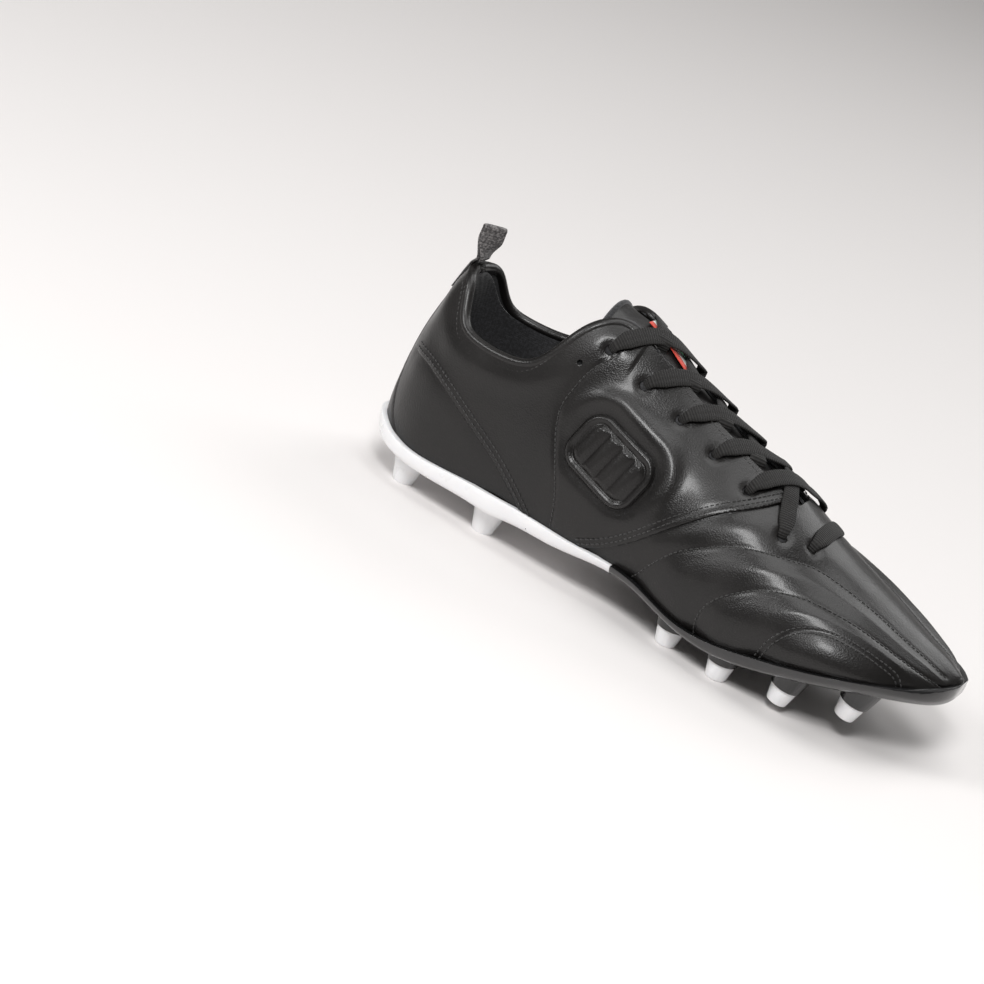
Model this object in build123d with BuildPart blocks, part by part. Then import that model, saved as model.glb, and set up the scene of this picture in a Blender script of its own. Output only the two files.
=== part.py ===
from build123d import *
import math
import os

# Soccer cleat, right foot, size EU 41-42, standing on its studs.
# X runs from the heel back to the toe tip, +Y is the inner (medial) side, +Z is up and the
# ground is z = 0. Every layer of the upper is a skin between two insets of one shoe form.

# ---- driving dimensions, mm ----
LEATHER = (0.0, 1.3)            # depth below the outer surface: outer face, inner face
PADDING = (1.4, 2.9)
LINING = (3.0, 3.8)
TONGUE_LEATHER = (4.2, 5.4)
TONGUE_FOAM = (5.5, 8.3)
TONGUE_LINING = (8.4, 9.2)
PLATE = (-2.4, -0.1)            # the sole plates wrap the outside of the form
TAIL = (-4.2, -2.5)             # black tail of the front plate, under the white plate
BINDING = (-0.5, 3.9)
PATCH = (-2.0, -0.1)
LACE_UNDER = (-1.7, -0.2)
LACE_OVER = (-3.4, -1.9)
SEAM_GAP = 0.16                 # width of the cut between neighbouring panels
BINDING_HEIGHT = 3.0
BOARD = 1.6
FOAM_BED = 3.0
LASTING_MARGIN = 13.0           # how far the upper folds under the foot
SPLIT_X = 131.0                 # where the white rear plate meets the black front plate
EYELET_RADIUS = 1.6
LACE_WIDTH = 7.6
MEDIAL_LEADS = (-3, -3, -3, -3, -3)         # how far past the next eyelet each strap ends
LATERAL_LEADS = (12, 12, 10, 5, -3)
WIDE = 80.0                     # half-reach of a side-view cut

# ---- the shoe form: x, sole z, top z, outer width, inner width, shoulder, crown ----
# Shoulder and crown are the share of the width that is left at 62% and 86% of the height.
STATIONS = [
    (0.8, 37.0, 53.0, 4.5, 4.5, 0.80, 0.60),
    (3.0, 24.5, 69.0, 13.0, 12.5, 0.86, 0.60),
    (7.0, 19.0, 85.0, 19.0, 18.5, 0.88, 0.62),
    (12.0, 16.8, 102.0, 24.0, 23.0, 0.87, 0.62),
    (20.0, 15.6, 119.0, 29.0, 27.5, 0.82, 0.55),
    (34.0, 15.0, 127.0, 33.0, 31.0, 0.87, 0.58),
    (60.0, 15.3, 127.0, 35.5, 32.5, 0.91, 0.64),
    (80.0, 16.2, 121.0, 37.5, 33.5, 0.88, 0.64),
    (100.0, 17.4, 114.0, 39.5, 35.0, 0.83, 0.56),
    (115.0, 18.8, 106.0, 40.5, 35.5, 0.84, 0.52),
    (131.0, 19.9, 98.5, 40.5, 36.0, 0.85, 0.50),
    (150.0, 17.3, 90.5, 43.0, 38.0, 0.83, 0.49),
    (165.0, 13.7, 84.5, 45.3, 41.2, 0.83, 0.50),
    (178.0, 12.3, 79.3, 47.2, 44.3, 0.84, 0.52),
    (192.0, 13.2, 72.3, 48.7, 46.0, 0.86, 0.54),
    (212.0, 17.8, 63.5, 49.5, 46.3, 0.88, 0.56),
    (235.0, 24.0, 56.0, 47.0, 41.5, 0.90, 0.61),
    (255.0, 28.5, 48.8, 37.5, 32.3, 0.91, 0.64),
    (268.0, 30.6, 44.5, 26.0, 22.0, 0.91, 0.64),
    (275.0, 32.0, 41.5, 15.0, 12.0, 0.90, 0.62),
    (278.0, 34.5, 39.5, 5.0, 5.0, 0.88, 0.60),
]
X_MIDDLE = (STATIONS[0][0] + STATIONS[-1][0]) / 2
X_REACH = (STATIONS[-1][0] - STATIONS[0][0]) / 2
CROWN_LEVEL, SHOULDER_LEVEL, WIDEST_LEVEL = 0.86, 0.62, 0.28

# ---- side-view lines, (x, z) ----
COLLAR = [(11, 98.5), (15, 96), (19, 87.5), (24, 80), (32, 77.2), (44, 77), (57, 79.5),
          (65, 86), (70, 95), (75, 104.5), (81, 110.5), (88, 112.3), (96, 110)]
HEEL_SEAM = [(-6, 57), (8, 56.8), (20, 56), (34, 50.8), (48, 44), (62, 37), (73, 30), (83, 22.5),
             (90, 15)]
VAMP_SEAM = [(192, 84), (182.5, 75.6), (167, 66.3), (157, 58.6), (147.5, 49.4), (138, 39),
             (127, 29), (115, 22), (104, 16)]
WELT = [(-8, 26), (2, 24.5), (14, 21), (30, 19.4), (52, 21), (83, 22.4), (104, 21.9),
        (131, 22.0), (146, 20.2), (169, 15.4), (181, 16.2), (206, 21.4), (237, 29.6),
        (262, 35), (284, 38.5)]
TOE_PUFF_X = 238.0
COUNTER_X = 86.0
THROAT_END = 187.0
THROAT_HALF = 11.0
TONGUE_TOP_X = 74.0
BACKSTAY = [(8, 108), (8.5, 76), (11, 52), (19, 32), (31, 14)]   # half-width y, z

# ---- eyelets on the outer side: x, y, z; the inner side mirrors them ----
EYELETS = [(88.9, 23.0, 101.0), (108.5, 21.5, 94.0), (128.1, 20.5, 87.5), (147.5, 20.5, 81.0),
           (167.2, 22.0, 74.5), (189.6, 24.5, 68.0), (201.6, 15.6, 69.0)]

# ---- studs: x, y of the tip, z of the tip face, backward lean in degrees ----
LATERAL_STUDS = [(245.5, -28.5, 10.4, 10), (218.5, -35.5, 4.1, 7), (190.8, -36.0, 0, 0),
                 (163.9, -31.0, 0, 0)]
MEDIAL_STUDS = [(242.0, 27.5, 9.6, 10), (215.5, 35.0, 3.6, 7), (189.0, 34.5, 0, 0),
                (163.0, 28.0, 0, 0)]
CENTRE_STUDS = [(226.0, 0.0, 10.5, 8), (199.0, 0.0, 5.0, 0)]
HEEL_STUDS = [(67.3, -22.0, 0, 0), (23.5, -17.0, 0, 0), (63.0, 20.0, 0, 0), (24.0, 16.5, 0, 0)]
TIP_HEIGHT, TIP_RADIUS, TIP_TOP_RADIUS = 8.0, 4.6, 6.2
PEG_RADIUS, PEG_HEIGHT, PEG_PLAY = 2.6, 4.6, 0.1
BASE_RADIUS, BASE_FLARE = 6.9, 2.2
HEEL_TIP_RADIUS, HEEL_STUD_RADIUS = 4.8, 8.6

# ---- side patch ----
PATCH_CENTRE, PATCH_SIZE, PATCH_TILT, PATCH_CORNER = (111.4, 61.0), (39.0, 27.0), -17.0, 9.0

# ---- pull tab ----
TAB_X, TAB_AXIS_Z, TAB_TOP_Z, TAB_WIDTH = 12.6, 103.6, 116.2, 11.0
TAB_PLY, TAB_LOOP = 1.1, 0.8

# ---- the origin of the finished object: under the middle of its footprint ----
ORIGIN = (140.05, -0.5)

os.makedirs("parts", exist_ok=True)


def write(part, name):
    """Move a finished sub-part to the object's origin, name it and write it as its own node."""
    placed = part.moved(Location((-ORIGIN[0], -ORIGIN[1], 0)))
    placed.label = name
    export_step(placed, f"parts/{name}.step")


def soft_inset(inset, room):
    """The inset that a section can take; it fades out where the section is small."""
    if inset <= 0:
        return inset
    return inset / (1 + (inset / (0.8 * room)) ** 3) ** (1 / 3)


def section_points(station, inset):
    """Twelve (y, z) points round one cross-section of the form, drawn in by the inset."""
    _, sole, top, outer, inner, shoulder, crown = station
    depth = soft_inset(inset, min(outer, inner, (top - sole) / 2))
    sole, height = sole + depth, top - sole - 2 * depth
    outer, inner = outer - depth, inner - depth
    feather = min(3.6, 0.13 * height)
    levels = [(crown, CROWN_LEVEL * height), (shoulder, SHOULDER_LEVEL * height),
              (1.0, WIDEST_LEVEL * height), (0.94, feather), (0.72, 0.0)]
    down = [(-outer * share, sole + rise) for share, rise in levels]
    up = [(inner * share, sole + rise) for share, rise in reversed(levels)]
    middle = (inner - outer) / 2
    return [(middle, sole + height)] + down + [(middle, sole)] + up


def even_ring(points):
    """A closed spline whose knots are evenly numbered, so that all sections match."""
    return Edge.make_spline([(y, z) for y, z in points], periodic=True,
                            parameters=[float(i) for i in range(len(points) + 1)])


def form(inset, stations=STATIONS):
    """The shoe form, lofted through its stations, with its skin moved inwards."""
    squeeze = (X_REACH - inset) / X_REACH
    with BuildPart() as solid:
        for station in stations:
            x = X_MIDDLE + (station[0] - X_MIDDLE) * squeeze
            with BuildSketch(Plane.YZ.offset(x)):
                with BuildLine():
                    add(even_ring(section_points(station, inset)))
                make_face()
        loft()
    return solid.part


def skin(depths, stations=STATIONS):
    """The layer of the form between two insets."""
    with BuildPart() as layer:
        add(form(depths[0], stations))
        add(form(depths[1], stations), mode=Mode.SUBTRACT)
    return layer.part


def side_cut(line, corners):
    """The solid over a side-view spline, closed by straight corners, right through Y."""
    with BuildPart() as cut:
        with BuildSketch(Plane.XZ):
            with BuildLine():
                Spline(*line)
                Polyline(line[-1], *corners, line[0])
            make_face()
        extrude(amount=WIDE, both=True)
    return cut.part


def side_slit(line):
    """A narrow cut along a side-view line, right through Y."""
    with BuildPart() as cut:
        with BuildSketch(Plane.XZ):
            with BuildLine():
                Spline(*line)
            trace(line_width=SEAM_GAP)
        extrude(amount=WIDE, both=True)
    return cut.part


def raised(line, lift):
    """A side-view line moved up."""
    return [(x, z + lift) for x, z in line]


def above(line):
    """Everything over a side-view line."""
    return side_cut(line, [(line[-1][0], 160), (line[0][0], 160)])


def below(line):
    """Everything under a side-view line."""
    return side_cut(line, [(line[-1][0], -20), (line[0][0], -20)])


def plan_cut(outline, low, high):
    """A block with a plan outline of straight (x, y) corners."""
    with BuildPart() as cut:
        with BuildSketch(Plane.XY.offset(low)):
            with BuildLine():
                Polyline(*outline, close=True)
            make_face()
        extrude(amount=high - low)
    return cut.part


def box_cut(x, y, z):
    """A block between two x, two y and two z values."""
    outline = [(x[0], y[0]), (x[1], y[0]), (x[1], y[1]), (x[0], y[1])]
    return plan_cut(outline, *z)


def foot_bed(lift):
    """The side-view line that runs this far above the bottom of the form."""
    inner = [(x, sole + lift) for x, sole, *_ in STATIONS[2:-2]]
    return [(-12, inner[0][1] + 6)] + inner + [(290, inner[-1][1] + 4)]


def under_foot(margin):
    """The area under the foot inside the lasting margin, up to just over the foot bed."""
    rows = [s for s in STATIONS if 14 < s[0] < 262]
    left = [(s[0], -(s[3] - margin)) for s in rows]
    right = [(s[0], s[4] - margin) for s in reversed(rows)]
    with BuildPart() as block:
        with BuildSketch(Plane.XY):
            with BuildLine():
                Spline(*left)
                Line(left[-1], right[0])
                Spline(*right)
                Line(right[-1], left[0])
            make_face()
        extrude(amount=60)
        add(below(foot_bed(LINING[1] + 1.5)), mode=Mode.INTERSECT)
    return block.part


def eyelet_drills():
    """Every eyelet as a short rod square to the leather."""
    with BuildPart() as rods:
        for x, y, z in EYELETS:
            for side in (-1, 1):
                lean = 0.75 if x < 195 else 0.4
                square = Plane(origin=(x, side * y, z), z_dir=(0.25, side * lean, 0.7))
                with BuildSketch(square):
                    Circle(EYELET_RADIUS)
                extrude(amount=9, both=True)
    return rods.part


def throat(half, start):
    """The lace opening, seen from above."""
    front = half * 0.62
    outline = [(start, -half), (THROAT_END - 12, -half), (THROAT_END, -front),
               (THROAT_END, front), (THROAT_END - 12, half), (start, half)]
    return plan_cut(outline, 50, 150)


def backstay_block(play):
    """The back view outline of the backstay, as a block through the heel."""
    right = [(y + play, z) for y, z in BACKSTAY]
    left = [(-y, z) for y, z in reversed(right)]
    with BuildPart() as block:
        with BuildSketch(Plane.YZ.offset(-8)):
            with BuildLine():
                Spline(*right)
                Line(right[-1], left[0])
                Spline(*left)
                Line(left[-1], right[0])
            make_face()
        extrude(amount=44 + play)
    return block.part


def pick(layer, point):
    """The solid of a cut layer that a point on it names."""
    return layer.solids().sort_by(lambda s: s.distance_to(Vertex(*point)))[0]


# ---- shared cutters ----
collar_void = side_cut(COLLAR, [(99, 104), (99.6, 160), (-25, 160), (-25, 98.5)])
throat_void = throat(THROAT_HALF, 90)
sole_hole = under_foot(LASTING_MARGIN)
drills = eyelet_drills()
heel_slit = side_slit(HEEL_SEAM)
vamp_slit = side_slit(VAMP_SEAM)
counter_line = [(99, 130), (95, 70), (COUNTER_X + 5, 6)]
counter_slit = side_slit(counter_line)

# ---- leather: backstay, heel panels, quarters and vamp ----
with BuildPart() as leather:
    add(skin(LEATHER))
    for cutter in (collar_void, throat_void, sole_hole, drills, heel_slit, vamp_slit):
        add(cutter, mode=Mode.SUBTRACT)

with BuildPart() as backstay:
    add(skin(LEATHER))
    add(backstay_block(0), mode=Mode.INTERSECT)
    add(collar_void, mode=Mode.SUBTRACT)
    add(sole_hole, mode=Mode.SUBTRACT)
write(pick(backstay.part, (3, 0, 50)), "backstay")

with BuildPart() as panels:
    add(leather.part)
    add(backstay_block(SEAM_GAP), mode=Mode.SUBTRACT)

PANELS = {"vamp": (215, -43, 48), "quarter_lateral": (110, -38, 55), "quarter_medial": (110, 34, 55),
          "heel_panel_lateral": (50, -34, 30), "heel_panel_medial": (50, 31, 30)}
for name, point in PANELS.items():
    write(pick(panels.part, point), name)

# ---- padding under the leather ----
tape_line = [(88, 93), (138, 75), (189, 56)]
with BuildPart() as padding:
    add(skin(PADDING))
    for cutter in (collar_void, throat_void, sole_hole, drills, heel_slit, vamp_slit, counter_slit,
                   side_slit(tape_line), side_slit([(TOE_PUFF_X, -5), (TOE_PUFF_X, 90)])):
        add(cutter, mode=Mode.SUBTRACT)

PADS = {"toe_puff": (262, 0, 50), "vamp_foam": (215, -41, 45), "heel_counter": (40, -30, 30),
        "collar_foam": (60, -31, 65), "quarter_backing_lateral": (120, -36, 55),
        "quarter_backing_medial": (120, 32, 55), "eyestay_tape_lateral": (138, -20, 80),
        "eyestay_tape_medial": (138, 20, 80)}
for name, point in PADS.items():
    write(pick(padding.part, point), name)

# ---- lining ----
with BuildPart() as lining:
    add(skin(LINING))
    for cutter in (collar_void, throat_void, sole_hole, drills, vamp_slit, counter_slit):
        add(cutter, mode=Mode.SUBTRACT)

LININGS = {"heel_lining": (50, -29, 50), "quarter_lining_lateral": (120, -34, 55),
           "quarter_lining_medial": (120, 30, 55), "vamp_lining": (215, -38, 45)}
for name, point in LININGS.items():
    write(pick(lining.part, point), name)

# ---- collar binding ----
with BuildPart() as collar_binding:
    add(skin(BINDING))
    add(collar_void, mode=Mode.INTERSECT)
    add(side_cut(raised(COLLAR, BINDING_HEIGHT),
                 [(99, 112), (100.5, 165), (-25, 165), (-25, 101.5)]), mode=Mode.SUBTRACT)
    add(box_cut((70, 140), (-14, 14), (60, 150)), mode=Mode.SUBTRACT)
    add(box_cut((85.5, 140), (-32, 32), (60, 150)), mode=Mode.SUBTRACT)
write(collar_binding.part, "collar_binding")

# ---- under the foot ----
with BuildPart() as bottom_filler:
    add(skin((0.15, LINING[1])))
    add(under_foot(LASTING_MARGIN + 0.3), mode=Mode.INTERSECT)
write(bottom_filler.part, "bottom_filler")

board_low = LINING[1] + 0.1
with BuildPart() as insole_board:
    add(form(board_low))
    add(below(foot_bed(board_low + BOARD)), mode=Mode.INTERSECT)
write(insole_board.part, "insole_board")

with BuildPart() as sockliner:
    add(form(board_low))
    add(above(foot_bed(board_low + BOARD + 0.1)), mode=Mode.INTERSECT)
    add(below(foot_bed(board_low + BOARD + FOAM_BED)), mode=Mode.INTERSECT)
write(sockliner.part, "sockliner")

# ---- tongue ----
INSTEP = STATIONS[6:17]
tongue_half = 24.0
tongue_outline = [(TONGUE_TOP_X + 2, -20), (TONGUE_TOP_X + 8, -tongue_half), (165, -20), (186, -10),
                  (186, 10), (165, 20), (TONGUE_TOP_X + 8, tongue_half), (TONGUE_TOP_X + 2, 20)]
tongue_block = plan_cut(tongue_outline, 58, 140)
for name, depths in (("tongue_leather", TONGUE_LEATHER), ("tongue_foam", TONGUE_FOAM),
                     ("tongue_lining", TONGUE_LINING)):
    with BuildPart() as layer:
        add(skin(depths, INSTEP))
        add(tongue_block, mode=Mode.INTERSECT)
    write(layer.part, name)

with BuildPart() as tongue_binding:
    add(skin((TONGUE_LEATHER[0], TONGUE_LINING[1]), INSTEP))
    add(box_cut((TONGUE_TOP_X, TONGUE_TOP_X + 1.9), (-20, 20), (58, 140)), mode=Mode.INTERSECT)
write(tongue_binding.part, "tongue_binding")

with BuildPart() as tongue_label:
    add(skin((TONGUE_LEATHER[0] - 1.1, TONGUE_LEATHER[0] - 0.1), INSTEP))
    add(box_cut((85, 118), (-6.5, 6.5), (58, 140)), mode=Mode.INTERSECT)
write(tongue_label.part, "tongue_label")

# ---- side patches ----
with BuildPart() as patch_skin:
    add(skin(PATCH))
    with BuildSketch(Plane.XZ):
        with Locations(Location(PATCH_CENTRE, PATCH_TILT)):
            RectangleRounded(*PATCH_SIZE, PATCH_CORNER)
    extrude(amount=WIDE, both=True, mode=Mode.INTERSECT)
write(pick(patch_skin.part, (111, -41, 61)), "side_patch_lateral")
write(pick(patch_skin.part, (111, 36, 61)), "side_patch_medial")

# ---- sole plates ----
with BuildPart() as cup:
    add(skin(PLATE))
    add(below(WELT), mode=Mode.INTERSECT)


def stud_plane(stud):
    """The plane of a stud's tip face, looking up the stud."""
    x, y, z, lean = stud
    angle = math.radians(lean)
    return Plane(origin=(x, y, z), x_dir=(math.cos(angle), 0, -math.sin(angle)),
                 z_dir=(math.sin(angle), 0, math.cos(angle)))


def cone(plane, low_radius, high_radius, height):
    """A round cone that widens upwards from a plane."""
    with BuildPart() as solid:
        with BuildSketch(plane):
            Circle(low_radius)
        with BuildSketch(plane.offset(height)):
            Circle(high_radius)
        loft()
    return solid.part


inside_plate = form(PLATE[1])
with BuildPart() as front_plate:
    add(cup.part)
    add(box_cut((-20, SPLIT_X + 0.1), (-80, 80), (-20, 60)), mode=Mode.SUBTRACT)
    teeth = [(SPLIT_X - 17 - 5 * (i % 2), -15 + 5 * i) for i in range(7)]
    with BuildSketch(Plane.XY):
        with BuildLine():
            Polyline((SPLIT_X + 9, -21), *teeth, (SPLIT_X + 9, 21), close=True)
        make_face()
    tail_area = extrude(amount=24, mode=Mode.PRIVATE)
    add(skin((TAIL[0], TAIL[1])) & tail_area)
    add(skin((TAIL[0], -1.0)) & box_cut((SPLIT_X + 0.3, SPLIT_X + 9), (-21, 21), (0, 24)))
    for stud in LATERAL_STUDS + MEDIAL_STUDS:
        seat = stud_plane(stud).offset(TIP_HEIGHT)
        add(cone(seat, BASE_RADIUS, BASE_RADIUS + BASE_FLARE, 11))
        with BuildSketch(seat):
            Circle(PEG_RADIUS)
        extrude(amount=-PEG_HEIGHT)
    for stud in CENTRE_STUDS:
        add(cone(stud_plane(stud), 4.2, 6.4, 16))
    add(inside_plate, mode=Mode.SUBTRACT)
write(front_plate.part.solids().sort_by(SortBy.VOLUME)[-1], "outsole_front_plate")

with BuildPart() as rear_plate:
    add(cup.part)
    add(box_cut((SPLIT_X, 300), (-80, 80), (-20, 60)), mode=Mode.SUBTRACT)
    for stud in HEEL_STUDS:
        add(cone(stud_plane(stud), HEEL_TIP_RADIUS, HEEL_STUD_RADIUS, 16))
    add(inside_plate, mode=Mode.SUBTRACT)
write(rear_plate.part.solids().sort_by(SortBy.VOLUME)[-1], "outsole_rear_plate")

for side, studs in (("lateral", LATERAL_STUDS), ("medial", MEDIAL_STUDS)):
    for number, stud in enumerate(studs, start=1):
        ground = stud_plane(stud)
        with BuildPart() as tip:
            add(cone(ground, TIP_RADIUS, TIP_TOP_RADIUS, TIP_HEIGHT))
            with BuildSketch(ground.offset(TIP_HEIGHT)):
                Circle(PEG_RADIUS + PEG_PLAY)
            extrude(amount=-PEG_HEIGHT - PEG_PLAY, mode=Mode.SUBTRACT)
        write(tip.part, f"stud_tip_{side}_{number}")

# ---- lace: flat straps from each eyelet over the tongue to the far edge of the throat ----
def straps(depths, side, leads):
    """The crossing straps that start on one side, each ending its lead ahead of an eyelet."""
    with BuildPart() as laid:
        add(skin(depths, INSTEP))
        with BuildSketch(Plane.XY.offset(55)):
            for start, end, lead in zip(EYELETS[:5], EYELETS[1:6], leads):
                reach = THROAT_HALF + 1 if end is not EYELETS[5] else end[1]
                with BuildLine():
                    Line((start[0], side * start[1]), (end[0] + lead, -side * reach))
                trace(line_width=LACE_WIDTH)
        extrude(amount=80, mode=Mode.INTERSECT)
    return laid.part


with BuildPart() as lace:
    add(straps(LACE_UNDER, 1, MEDIAL_LEADS))
    add(straps(LACE_OVER, -1, LATERAL_LEADS))
    add(skin(LACE_UNDER, INSTEP) & box_cut((198, 198 + LACE_WIDTH), (-15.6, 15.6), (55, 120)))
write(lace.part, "lace")

# ---- pull tab: a folded strip of webbing that swings at its stitched foot ----
with BuildPart() as pull_tab:
    half = TAB_PLY + TAB_LOOP / 2
    with BuildSketch(Plane.XZ.offset(-TAB_WIDTH / 2)):
        with Locations((TAB_X, (TAB_AXIS_Z + TAB_TOP_Z) / 2)):
            SlotOverall(TAB_TOP_Z - TAB_AXIS_Z + 2 * half, 2 * half, rotation=90)
            SlotOverall(TAB_TOP_Z - TAB_AXIS_Z + TAB_LOOP, TAB_LOOP, rotation=90,
                        mode=Mode.SUBTRACT)
    extrude(amount=TAB_WIDTH)
write(pull_tab.part, "pull_tab")

with BuildPart() as tab_anchor:
    add(skin((-1.1, -0.1)))
    add(box_cut((-5, 30), (-TAB_WIDTH / 2, TAB_WIDTH / 2), (84, 98)), mode=Mode.INTERSECT)
write(tab_anchor.part, "pull_tab_anchor")
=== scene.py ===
import math

import bmesh
import bpy
import numpy as np
from mathutils import Matrix, Vector, kdtree


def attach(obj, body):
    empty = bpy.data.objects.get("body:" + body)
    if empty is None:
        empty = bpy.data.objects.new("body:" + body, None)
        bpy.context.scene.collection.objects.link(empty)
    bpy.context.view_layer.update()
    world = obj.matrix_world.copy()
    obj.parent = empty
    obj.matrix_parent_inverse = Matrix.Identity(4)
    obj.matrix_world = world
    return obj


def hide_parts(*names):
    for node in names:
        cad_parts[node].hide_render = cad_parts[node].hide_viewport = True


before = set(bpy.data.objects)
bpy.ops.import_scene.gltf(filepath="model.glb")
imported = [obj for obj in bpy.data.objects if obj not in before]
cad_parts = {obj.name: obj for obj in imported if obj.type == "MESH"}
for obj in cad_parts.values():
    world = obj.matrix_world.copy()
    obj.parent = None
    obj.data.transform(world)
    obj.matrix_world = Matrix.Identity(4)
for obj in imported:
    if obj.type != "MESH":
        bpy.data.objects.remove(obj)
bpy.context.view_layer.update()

bl_info = {
    "name": "Soccer cleat",
    "version": (1, 0, 0),
    "blender": (4, 5, 0),
    "location": "View3D > Sidebar > Cleat",
    "description": "Builds the leather, lining, lace, stitching and sole of a soccer cleat",
    "category": "Object",
}

# Lengths below are millimetres in the shoe's own frame: X from the heel back to the toe, +Y to the
# inner side, Z up from the ground. place() turns them into the frame's metres.
ORIGIN = np.array([140.05, -0.5, 0.0])

# The shoe form: x, sole z, top z, outer width, inner width, shoulder share, crown share.
STATIONS = np.array([
    (0.8, 37.0, 53.0, 4.5, 4.5, 0.80, 0.60),
    (3.0, 24.5, 69.0, 13.0, 12.5, 0.86, 0.60),
    (7.0, 19.0, 85.0, 19.0, 18.5, 0.88, 0.62),
    (12.0, 16.8, 102.0, 24.0, 23.0, 0.87, 0.62),
    (20.0, 15.6, 119.0, 29.0, 27.5, 0.82, 0.55),
    (34.0, 15.0, 127.0, 33.0, 31.0, 0.87, 0.58),
    (60.0, 15.3, 127.0, 35.5, 32.5, 0.91, 0.64),
    (80.0, 16.2, 121.0, 37.5, 33.5, 0.88, 0.64),
    (100.0, 17.4, 114.0, 39.5, 35.0, 0.83, 0.56),
    (115.0, 18.8, 106.0, 40.5, 35.5, 0.84, 0.52),
    (131.0, 19.9, 98.5, 40.5, 36.0, 0.85, 0.50),
    (150.0, 17.3, 90.5, 43.0, 38.0, 0.83, 0.49),
    (165.0, 13.7, 84.5, 45.3, 41.2, 0.83, 0.50),
    (178.0, 12.3, 79.3, 47.2, 44.3, 0.84, 0.52),
    (192.0, 13.2, 72.3, 48.7, 46.0, 0.86, 0.54),
    (212.0, 17.8, 63.5, 49.5, 46.3, 0.88, 0.56),
    (235.0, 24.0, 56.0, 47.0, 41.5, 0.90, 0.61),
    (255.0, 28.5, 48.8, 37.5, 32.3, 0.91, 0.64),
    (268.0, 30.6, 44.5, 26.0, 22.0, 0.91, 0.64),
    (275.0, 32.0, 41.5, 15.0, 12.0, 0.90, 0.62),
    (278.0, 34.5, 39.5, 5.0, 5.0, 0.88, 0.60),
])
LEVELS = (0.86, 0.62, 0.28)          # crown, shoulder and widest heights of a section
RING = 12                            # control points round a section; 0 is the top
X_MIDDLE = (STATIONS[0, 0] + STATIONS[-1, 0]) / 2
X_REACH = (STATIONS[-1, 0] - STATIONS[0, 0]) / 2

# Side-view lines, (x, z).
COLLAR = [(11, 98.5), (15, 96), (19, 87.5), (24, 80), (32, 77.2), (44, 77), (57, 79.5),
          (65, 86), (70, 95), (75, 104.5), (81, 110.5), (88, 112.3), (96, 110)]
HEEL_SEAM = [(-6, 57), (8, 56.8), (20, 56), (34, 50.8), (48, 44), (62, 37), (73, 30), (83, 22.5),
             (90, 15)]
VAMP_SEAM = [(192, 84), (182.5, 75.6), (167, 66.3), (157, 58.6), (147.5, 49.4), (138, 39),
             (127, 29), (115, 22), (104, 16)]
WELT = [(-8, 26), (2, 24.5), (14, 21), (30, 19.4), (52, 21), (83, 22.4), (104, 21.9),
        (131, 22.0), (146, 20.2), (169, 15.4), (181, 16.2), (206, 21.4), (237, 29.6),
        (262, 35), (284, 38.5)]
BACKSTAY = [(8, 108), (8.5, 76), (11, 52), (19, 32), (31, 14)]
SIDE_STITCH = [(91, 98), (86, 90), (83, 80), (82, 70), (86, 58), (92, 46), (97, 34), (99, 24)]

# Quilting lines on the vamp, (x, place round the section), from the sole to the toe.
STRIP_LINE = [(141, 4.1), (146, 3.4), (153, 2.85), (163, 2.4), (183, 1.67), (199, 1.12), (211, 0.78),
              (230, 0.58), (244, 0.52), (256, 0.52), (266, 0.6), (274, 0.9)]
WING_LINE = [(176, 4.1), (175.5, 3.3), (180, 2.8), (187, 2.45), (197, 2.05), (209, 1.68), (218, 1.47),
             (231, 1.28), (243, 1.2), (256, 1.25), (266, 1.5), (273, 2.0), (276.5, 2.8)]
TOE_LINE = [(206, 3.7), (208.5, 3.0), (213, 2.55), (219, 2.25), (229, 1.98), (240, 1.9), (249, 1.97),
            (256, 2.15), (260, 2.45), (262, 3.0), (262.5, 3.6)]

EYELETS = [(88.9, 101.0), (108.5, 94.0), (128.1, 87.5), (147.5, 81.0), (167.2, 74.5),
           (189.6, 65.2), (201.6, 64.4)]
THROAT_END, THROAT_HALF = 187.0, 11.0
VENT_HOLE = (80.6, 91.5)
LATERAL_LEADS, MEDIAL_LEAD = (12.0, 12.0, 10.0, 5.0, 0.0), -3.0
PATCH_CENTRE, PATCH_SIZE, PATCH_TILT, PATCH_CORNER = (111.4, 61.0), (39.0, 27.0), -17.0, 9.0

LEATHER_THICK, LINING_DEPTH, LINING_THICK = 1.3, 3.0, 0.8
TONGUE_DEPTH, TONGUE_THICK, TONGUE_TOP = 4.2, 5.0, 78.5
TONGUE_FLAT, TONGUE_FLAT_END = 2.2, 104.0    # how far the tongue's crown is pressed flat, and to where
TONGUE_ROUND = 3.2                   # roll of the tongue's top edge
HOLE_RADIUS, VENT_RADIUS = 2.2, 1.25
TAUT = 2.3                           # how far a strap cuts below the crown between the flaps
HOLE_DROP, FLAP_DROP = 2.6, 4.2      # how deep a strap's end goes into a hole, or under a flap
SEAM_ROWS = (1.9, 4.1)               # gaps of the twin rows beside the vamp and heel seams
TOE_ROWS = (-1.1, 1.1)               # gaps of the twin rows round the toe
THROAT_ROW, COLLAR_ROW = 2.2, 4.2    # gaps of the single rows beside the throat and the collar
TAB_X, TAB_FOOT, TAB_WIDTH = 12.6, 101.0, 11.0
TAB_TWIST = -44.0                    # how far the pull tab's loop is turned, in degrees
HEEL_BACK = (-0.94, 0.0, 0.34)       # the way that the heel faces where the tab is sewn on
EDGE_ROUND = 0.0005                  # radius on the moulded edges, in metres

CAMERA_PLACE = (487.5, -1390.0, 555.6)
CAMERA_RIGHT = (0.837, 0.404, 0.369)
CAMERA_UP = (-0.472, 0.192, 0.860)
CAMERA_BACK = (0.276, -0.894, 0.352)
CAMERA_LENS, CAMERA_SENSOR = 130.0, 36.0


# ---------------------------------------------------------------- curves and the shoe form

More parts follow.
